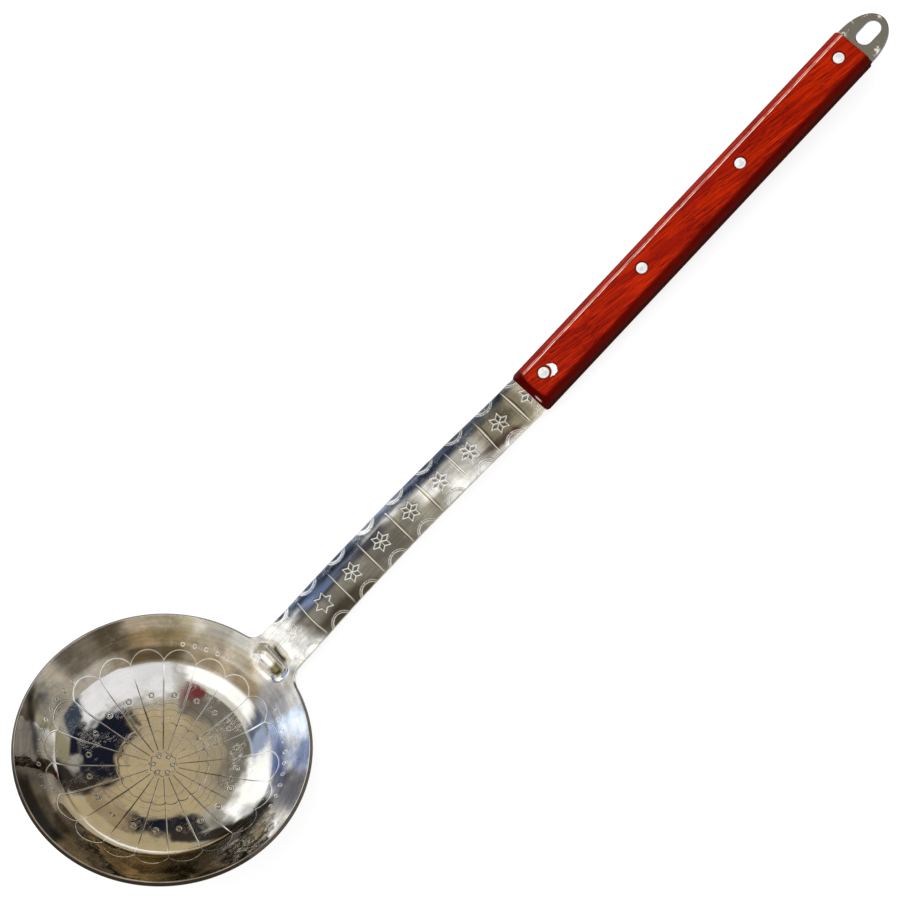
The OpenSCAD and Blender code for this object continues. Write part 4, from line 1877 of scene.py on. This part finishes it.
@dataclass(frozen=True)
class LacqueredWood:
    """Red hardwood under clear lacquer, with painted shade along its rounded edges, a painted highlight
    along one edge, and one small chip.
    """

    bright: Rgb = (0.53, 0.021, 0.0008)
    plain: Rgb = (0.33, 0.0085, 0.0008)
    dark: Rgb = (0.17, 0.0035, 0.0006)
    pore: Rgb = (0.06, 0.0013, 0.0004)
    # Painted shade on the rounded sides, the sloping front and round the rivets.
    side: Rgb = (0.1, 0.0014, 0.0006)
    # Painted highlight colour, for the pale lines along the far edge and the glint on the front.
    painted_glint: Rgb = (1.0, 0.82, 0.72)
    chip: Rgb = (0.93, 0.92, 0.9)
    slant: float = math.radians(9.5)
    edge_from: float = 6.3
    highlight_at: Pair = (5.35, 5.95)
    chip_at: Pair = (12.37, -1.33)
    chip_r: float = 2.8
    chip_clear_r: float = 3.3

    def material(self) -> bpy.types.Material:
        """Builds the material.

        Returns:
            The material of both scales.
        """
        g = Finish("red_wood", Specular_IOR_Level=0.0, Coat_Roughness=0.12, Coat_IOR=1.8)
        along, across, above = g.handle_places()
        c, s = math.cos(self.slant), math.sin(self.slant)
        flat = g.combine(along, across, g.times(above, 1.3))
        ways = ((c, -s, 0.0), (s, c, 0.0), (0.0, 0.0, 1.0))
        grain_place = g.combine(*(g.dot(flat, way) for way in ways))
        wander = g.times(g.minus(g.noise(flat, 0.05, 2.0), 0.5), 3.0)
        place = g.vector("ADD", grain_place, g.combine(0.0, wander, wander)).outputs["Vector"]
        broad = g.streaks(place, (0.022, 0.28, 0.28), 0.36, 0.62)
        fine = g.streaks(place, (0.045, 1.5, 1.5), 0.42, 0.64)
        pores = g.streaks(place, (0.1, 4.4, 4.4), 0.54, 0.62)
        color = g.mix(broad, self.bright, self.plain)
        color = g.mix(g.times(fine, 0.7), color, self.dark)
        gathered = g.soft(g.noise(flat, 0.09, 2.0), 0.38, 0.6, 0.35, 1.0)
        color = g.mix(g.times(pores, gathered), color, self.pore)
        color = self._painted_shade(g, color, along, across)
        color = self._painted_edge_highlight(g, color, along, across, above)
        color = self._chip(g, color, along, across, above)
        rough = g.soft(fine, 0.0, 1.0, 0.34, 0.5)
        relief = g.plus(pores, g.times(g.noise(flat, 0.35, 2.0), 3.0))
        coat = g.soft(across, self.edge_from - 0.6, self.edge_from + 1.8, 0.03, 0.16)
        g.set(Base_Color=color, Roughness=rough, Coat_Weight=coat, Normal=g.bump(relief, -0.00002))
        return g.material

    def _painted_shade(self, g: Finish, color: Socket, along: Socket, across: Socket) -> Socket:
        """Painted shade on the rounded sides, on the sloping front and round the rivets, and a painted glint
        on the front edge.

        Args:
            g: The finish in work.
            color: Colour so far.
            along: Along the handle, in mm.
            across: Across it, in mm.

        Returns:
            The colour with its painted shade and glint.
        """
        near_side = g.soft(across, -self.edge_from, -self.edge_from - 1.3, 0.0, 0.85)
        far_side = g.soft(across, self.edge_from + 0.8, self.edge_from + 1.8, 0.0, 0.5)
        bow = g.scaled(g.times(across, across), -0.022, along)
        front = g.soft(bow, 3.4, 2.6, 0.0, 1.0)
        seat = g.soft(g.rivet_distance(along, across), 2.5, 3.1, 0.85, 0.0)
        mask = g.most(g.most(near_side, far_side), g.most(front, seat))
        # Painted glint: a pale dash on the front edge.
        glint = g.times(g.between(along, 0.9, 1.3, 0.25), g.between(across, -6.4, -3.4, 0.8))
        return g.mix(glint, g.mix(mask, color, self.side), self.painted_glint)

    def _painted_edge_highlight(self, g: Finish, color: Socket, along: Socket, across: Socket, above: Socket) -> Socket:
        """Two fine pale lines of painted highlight along the upper scale's far edge.

        Args:
            g: The finish in work.
            color: Colour so far.
            along: Along the handle, in mm.
            across: Across it, in mm.
            above: Above it, in mm.

        Returns:
            The colour with the pale lines.
        """
        flat = g.combine(along, 0.0, 0.0)
        wander = g.scaled(g.minus(g.noise(flat, 0.12, 3.0), 0.5), 0.5, across)
        mask: Plug = 0.0
        for row, at in enumerate(self.highlight_at):
            line = g.soft(g.size(g.minus(wander, at)), 0.05, 0.24, 1.0 - 0.55 * row, 0.0)
            kept = g.soft(g.noise(g.combine(along, 9.0 * row, 0.0), 0.1, 4.0, 0.65), 0.4, 0.52, 0.3, 1.0)
            mask = g.most(mask, g.times(line, kept))
        upper = g.times(g.math("GREATER_THAN", above, 1.0), g.soft(along, 3.5, 5.0))
        return g.mix(g.times(mask, upper), color, self.painted_glint)

    def _chip(self, g: Finish, color: Socket, along: Socket, across: Socket, above: Socket) -> Socket:
        """Pale chip beside the first rivet, on the upper scale only.

        Args:
            g: The finish in work.
            color: Colour so far.
            along: Along the handle, in mm.
            across: Across it, in mm.
            above: Above it, in mm.

        Returns:
            The colour with the chip.
        """
        spots = (self.chip_at, (RIVETS.first, 0.0))
        away = [g.hypot(g.minus(along, x), g.minus(across, y)) for x, y in spots]
        ragged = g.scaled(g.minus(g.noise(g.place, 900.0, 2.0), 0.5), 1.2, away[0])
        upper = g.math("GREATER_THAN", above, 1.0)
        outside_head = g.soft(away[1], self.chip_clear_r - 0.1, self.chip_clear_r + 0.1)
        area = g.times(upper, outside_head)
        rim = g.times(area, g.soft(ragged, self.chip_r + 0.1, self.chip_r + 0.6, 0.8, 0.0))
        pale = g.times(area, g.soft(ragged, self.chip_r - 0.15, self.chip_r + 0.05, 1.0, 0.0))
        return g.mix(pale, g.mix(rim, color, self.pore), self.chip)


@dataclass(frozen=True)
class PeenedMetal:
    """Dull white metal of the rivets, hammered and a little greyer in the middle."""

    rim: Rgb = (0.84, 0.84, 0.83)
    middle: Rgb = (0.62, 0.63, 0.62)
    scratched: Rgb = (0.6, 0.6, 0.58)

    def material(self) -> bpy.types.Material:
        """Builds the material.

        Returns:
            The material of the rivets.
        """
        g = Finish("rivet_metal", Metallic=0.2, Specular_IOR_Level=0.3)
        along, across, _ = g.handle_places()
        smudge = g.noise(g.place, 500.0, 3.0)
        middle = g.soft(g.rivet_distance(along, across), 1.2, 1.9, 1.0, 0.0)
        inner = g.times(middle, g.soft(smudge, 0.35, 0.6))
        scratches = g.scratches(g.combine(along, across, 0.0), (1.6, 0.5, 1.0), 0.02)
        color = g.mix(g.times(scratches, 0.3), g.mix(inner, self.rim, self.middle), self.scratched)
        rough = g.soft(smudge, 0.3, 0.7, 0.38, 0.55)
        g.set(Base_Color=color, Roughness=rough, Normal=g.bump(g.noise(g.place, 900.0, 1.0), 0.00005))
        return g.material


# Studio

BEIGE = (0.55, 0.44, 0.257)
NAVY = (0.012, 0.014, 0.027)
PALE = (1.0, 0.99, 1.02)
WHITE = (1.45, 1.45, 1.42)
SLATE = (0.05, 0.068, 0.1)
OLIVE = (0.33, 0.3, 0.19)
SOOT = (0.04, 0.033, 0.028)
SKY = (0.42, 0.5, 0.68)
MAROON = (0.2, 0.04, 0.045)


@dataclass(frozen=True)
class Room:
    """What polished metal sees above the table: cards, flags and windows round the bowl's own direction."""

    middle: tuple[float, float, float] = (0.622, 0.328, 0.711)
    side: tuple[float, float, float] = (-0.7822, 0.2178, 0.5838)
    up: tuple[float, float, float] = (0.0367, -0.9192, 0.392)
    base: Rgb = (0.42, 0.4, 0.34)
    cards: tuple[Card, ...] = (
        Card((-64, 50), (16, 32), (0.85, 0.82, 0.74), (8, 3)),
        Card((-360, 360), (-20, 15.5), BEIGE, (1, 2.5)),
        Card((-76, 24), (8, 15), (0.42, 0.35, 0.23), (8, 2.5)),
        Card((-66, 46), (13, 23), (0.2, 0.185, 0.15), (7, 1.8)),
        Card((178, 224), (14, 20.5), (0.36, 0.26, 0.15), (6, 2)),
        Card((93, 178), (9.5, 18), NAVY, (4, 0.8)),
        Card((216, 264), (14, 20.5), NAVY, (4, 1), lean=1),
        Card((53, 124), (18, 66), PALE, (4, 1.5)),
        Card((34, 47), (17, 29), MAROON, (4, 3)),
        Card((-10, 48), (33, 63), WHITE, (6, 4)),
        Card((126, 152), (17.5, 36), NAVY, (3, 3), lean=0.25),
        Card((121, 140), (34, 66), SLATE, (3, 4)),
        Card((146, 166), (33, 66), OLIVE, (4, 3), lean=0.1),
        Card((164, 184), (15, 66), SOOT, (3, 2), lean=0.1),
        Card((185, 254), (20, 62), BEIGE, (3, 2)),
        Card((256, 275), (17, 66), SOOT, (3, 2), lean=0.6),
        Card((277, 326), (18, 64), WHITE, (3, 2), lean=0.1),
        Card((324, 347), (24, 60), SKY, (4, 4)),
        Card((-20, -12), (26, 60), NAVY, (3, 4), strength=0.7),
        Card((-20, 9), (64, 90), (0.9, 0.84, 0.72)),
        Card((9, 27), (64, 90), (1.2, 1.17, 1.1)),
        Card((27, 45), (66, 90), (0.85, 0.8, 0.7)),
        Card((45, 63), (66, 90), (0.54, 0.47, 0.32)),
        Card((63, 82), (66, 90), (0.72, 0.6, 0.43)),
        Card((82, 98), (66, 90), (0.36, 0.3, 0.21)),
        Card((98, 118), (66, 90), (0.5, 0.45, 0.39)),
        Card((118, 175), (66, 90), (0.5, 0.44, 0.35)),
        Card((262, 284), (64, 90), (0.94, 0.9, 0.86), (4, 1.5)),
        Card((284, 300), (64, 90), (0.52, 0.54, 0.57), (4, 1.5)),
        Card((300, 317), (64, 90), (0.45, 0.58, 0.95), (4, 1.5)),
        Card((317, 334), (64, 90), (1.05, 1.25, 1.6), (4, 1.5)),
        Card((334, 346), (64, 90), (0.84, 0.83, 0.82), (4, 1.5)),
    )

    def color(self, graph: Graph) -> Socket:
        """Builds the room's colour from the direction that a ray takes."""
        where = graph.node("TexCoord").outputs["Generated"]
        stray = graph.times(graph.minus(graph.noise(where, 3.0, 3.0), 0.5), 14.0)
        tilt = graph.math("DEGREES", graph.math("ARCCOSINE", graph.dot(where, self.middle)))
        rise, run = graph.dot(where, self.up), graph.dot(where, self.side)
        turn = graph.math("DEGREES", graph.math("ARCTAN2", rise, run))
        turn, tilt = graph.plus(turn, stray), graph.scaled(stray, 0.12, tilt)
        color: Plug = self.base
        for card in self.cards:
            color = card.lay(graph, turn, tilt, color)
        return color


@dataclass(frozen=True)
class Studio:
    """White floor, soft light and the photograph's camera."""

    camera_at: tuple[float, float, float] = (-0.039065, -0.33188, 0.959181)
    camera_turn: tuple[float, float, float, float] = (0.906209, 0.1614405, 0.0554807, -0.3868387)
    lens: float = 103.934
    world_strength: float = 0.55
    floor_glow: float = 0.82
    floor_albedo: float = 0.3
    room: Room = Room()

    def camera(self) -> None:
        """Adds the camera of the photograph."""
        data = bpy.data.cameras.new("photo_camera")
        data.lens = self.lens
        data.sensor_width = 36.0
        data.sensor_fit = "HORIZONTAL"
        data.clip_start, data.clip_end = 0.01, 50.0
        camera = bpy.data.objects.new("photo_camera", data)
        camera.location = self.camera_at
        camera.rotation_mode = "QUATERNION"
        camera.rotation_quaternion = Quaternion(self.camera_turn)
        bpy.context.scene.collection.objects.link(camera)
        bpy.context.scene.camera = camera

    def floor(self) -> None:
        """Adds the pale floor, white to the camera, in metal and in glass, with the ladle's soft shadow."""
        Bench.clear()
        bpy.ops.mesh.primitive_plane_add(size=12.0, location=(0.0, 0.0, -0.0003))
        plane = bpy.context.object
        plane.name = "floor"
        g = Finish("white_floor", Roughness=1.0, Specular_IOR_Level=0.0)
        g.set(Base_Color=(self.floor_albedo,) * 3, Emission_Color=(1.0, 1.0, 1.0))
        path = g.node("LightPath").outputs
        seen = g.most(path["Is Camera Ray"], path["Is Glossy Ray"])
        seen = g.most(seen, path["Is Transmission Ray"])
        g.set(Emission_Strength=g.times(seen, self.floor_glow))
        plane.data.materials.append(g.material)

    def world(self) -> None:
        """Sets an even white world, with the room's cards for what the metal reflects."""
        world = bpy.data.worlds.new("studio")
        bpy.context.scene.world = world
        world.use_nodes = True
        g = Graph(world.node_tree)
        plain = g.tree.nodes["Background"]
        g.feed(plain.inputs["Color"], (1.0, 1.0, 1.0))
        g.feed(plain.inputs["Strength"], self.world_strength)
        cards = g.node("Background")
        g.feed(cards.inputs["Color"], self.room.color(g))
        pick = g.node("MixShader")
        g.feed(pick.inputs["Fac"], g.node("LightPath").outputs["Is Glossy Ray"])
        g.feed(pick.inputs[1], plain.outputs["Background"])
        g.feed(pick.inputs[2], cards.outputs["Background"])
        g.feed(g.tree.nodes["World Output"].inputs["Surface"], pick.outputs["Shader"])

    def lamp(
        self, name: str, at: Sequence[float], size: Pair, energy: float
    ) -> Piece:
        """Adds a wide lamp aimed at the middle of the ladle.

        Args:
            name: Its name.
            at: Where it hangs, in metres.
            size: Its width and height, in metres.
            energy: Its power in watts.

        Returns:
            The lamp.
        """
        light = bpy.data.lights.new(name, "AREA")
        light.shape = "RECTANGLE"
        light.size, light.size_y = size
        light.energy = energy
        box = bpy.data.objects.new(name, light)
        box.location = at
        box.rotation_euler = (-Vector(at)).to_track_quat("-Z", "Y").to_euler()
        bpy.context.scene.collection.objects.link(box)
        return box

    def build(self) -> None:
        """Sets up camera, floor, world and lamps; gloss sees the room instead of the lamps."""
        bpy.context.scene.view_settings.view_transform = "Standard"
        self.camera()
        self.floor()
        self.world()
        self.lamp("window_softbox", (0.3, 1.0, 0.9), (0.9, 0.9), 8.0).visible_glossy = False
        self.lamp("ceiling_softbox", (-0.2, 0.1, 1.5), (1.0, 1.0), 7.0).visible_glossy = False


def put_in_place(
    pieces: Sequence[Piece], nodes: Sequence[str], finish: bpy.types.Material
) -> None:
    """Dresses pieces and lets each take the place of its CAD node.

    Args:
        pieces: The finished pieces.
        nodes: The CAD node that each piece replaces.
        finish: Their material.
    """
    for piece, node in zip(pieces, nodes):
        piece.data.materials.clear()
        piece.data.materials.append(finish)
        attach(piece, BODY)
        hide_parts(node)
        LOG.info("%s stands in for %s: %d faces", piece.name, node, len(piece.data.polygons))


def main() -> None:
    """Builds the ladle piece by piece and reports each one."""
    logging.basicConfig(level=logging.INFO, format="%(name)s: %(message)s")
    Studio().build()
    put_in_place([PressedSteel().build()], ["ladle_steel"], PolishedSteel().material())
    put_in_place(GripScales().build(), ["top_scale", "bottom_scale"], LacqueredWood().material())
    rivets = [f"rivet_{i + 1}" for i in range(RIVETS.count)]
    put_in_place(Rivets().build(), rivets, PeenedMetal().material())


if __name__ == "__main__":
    main()
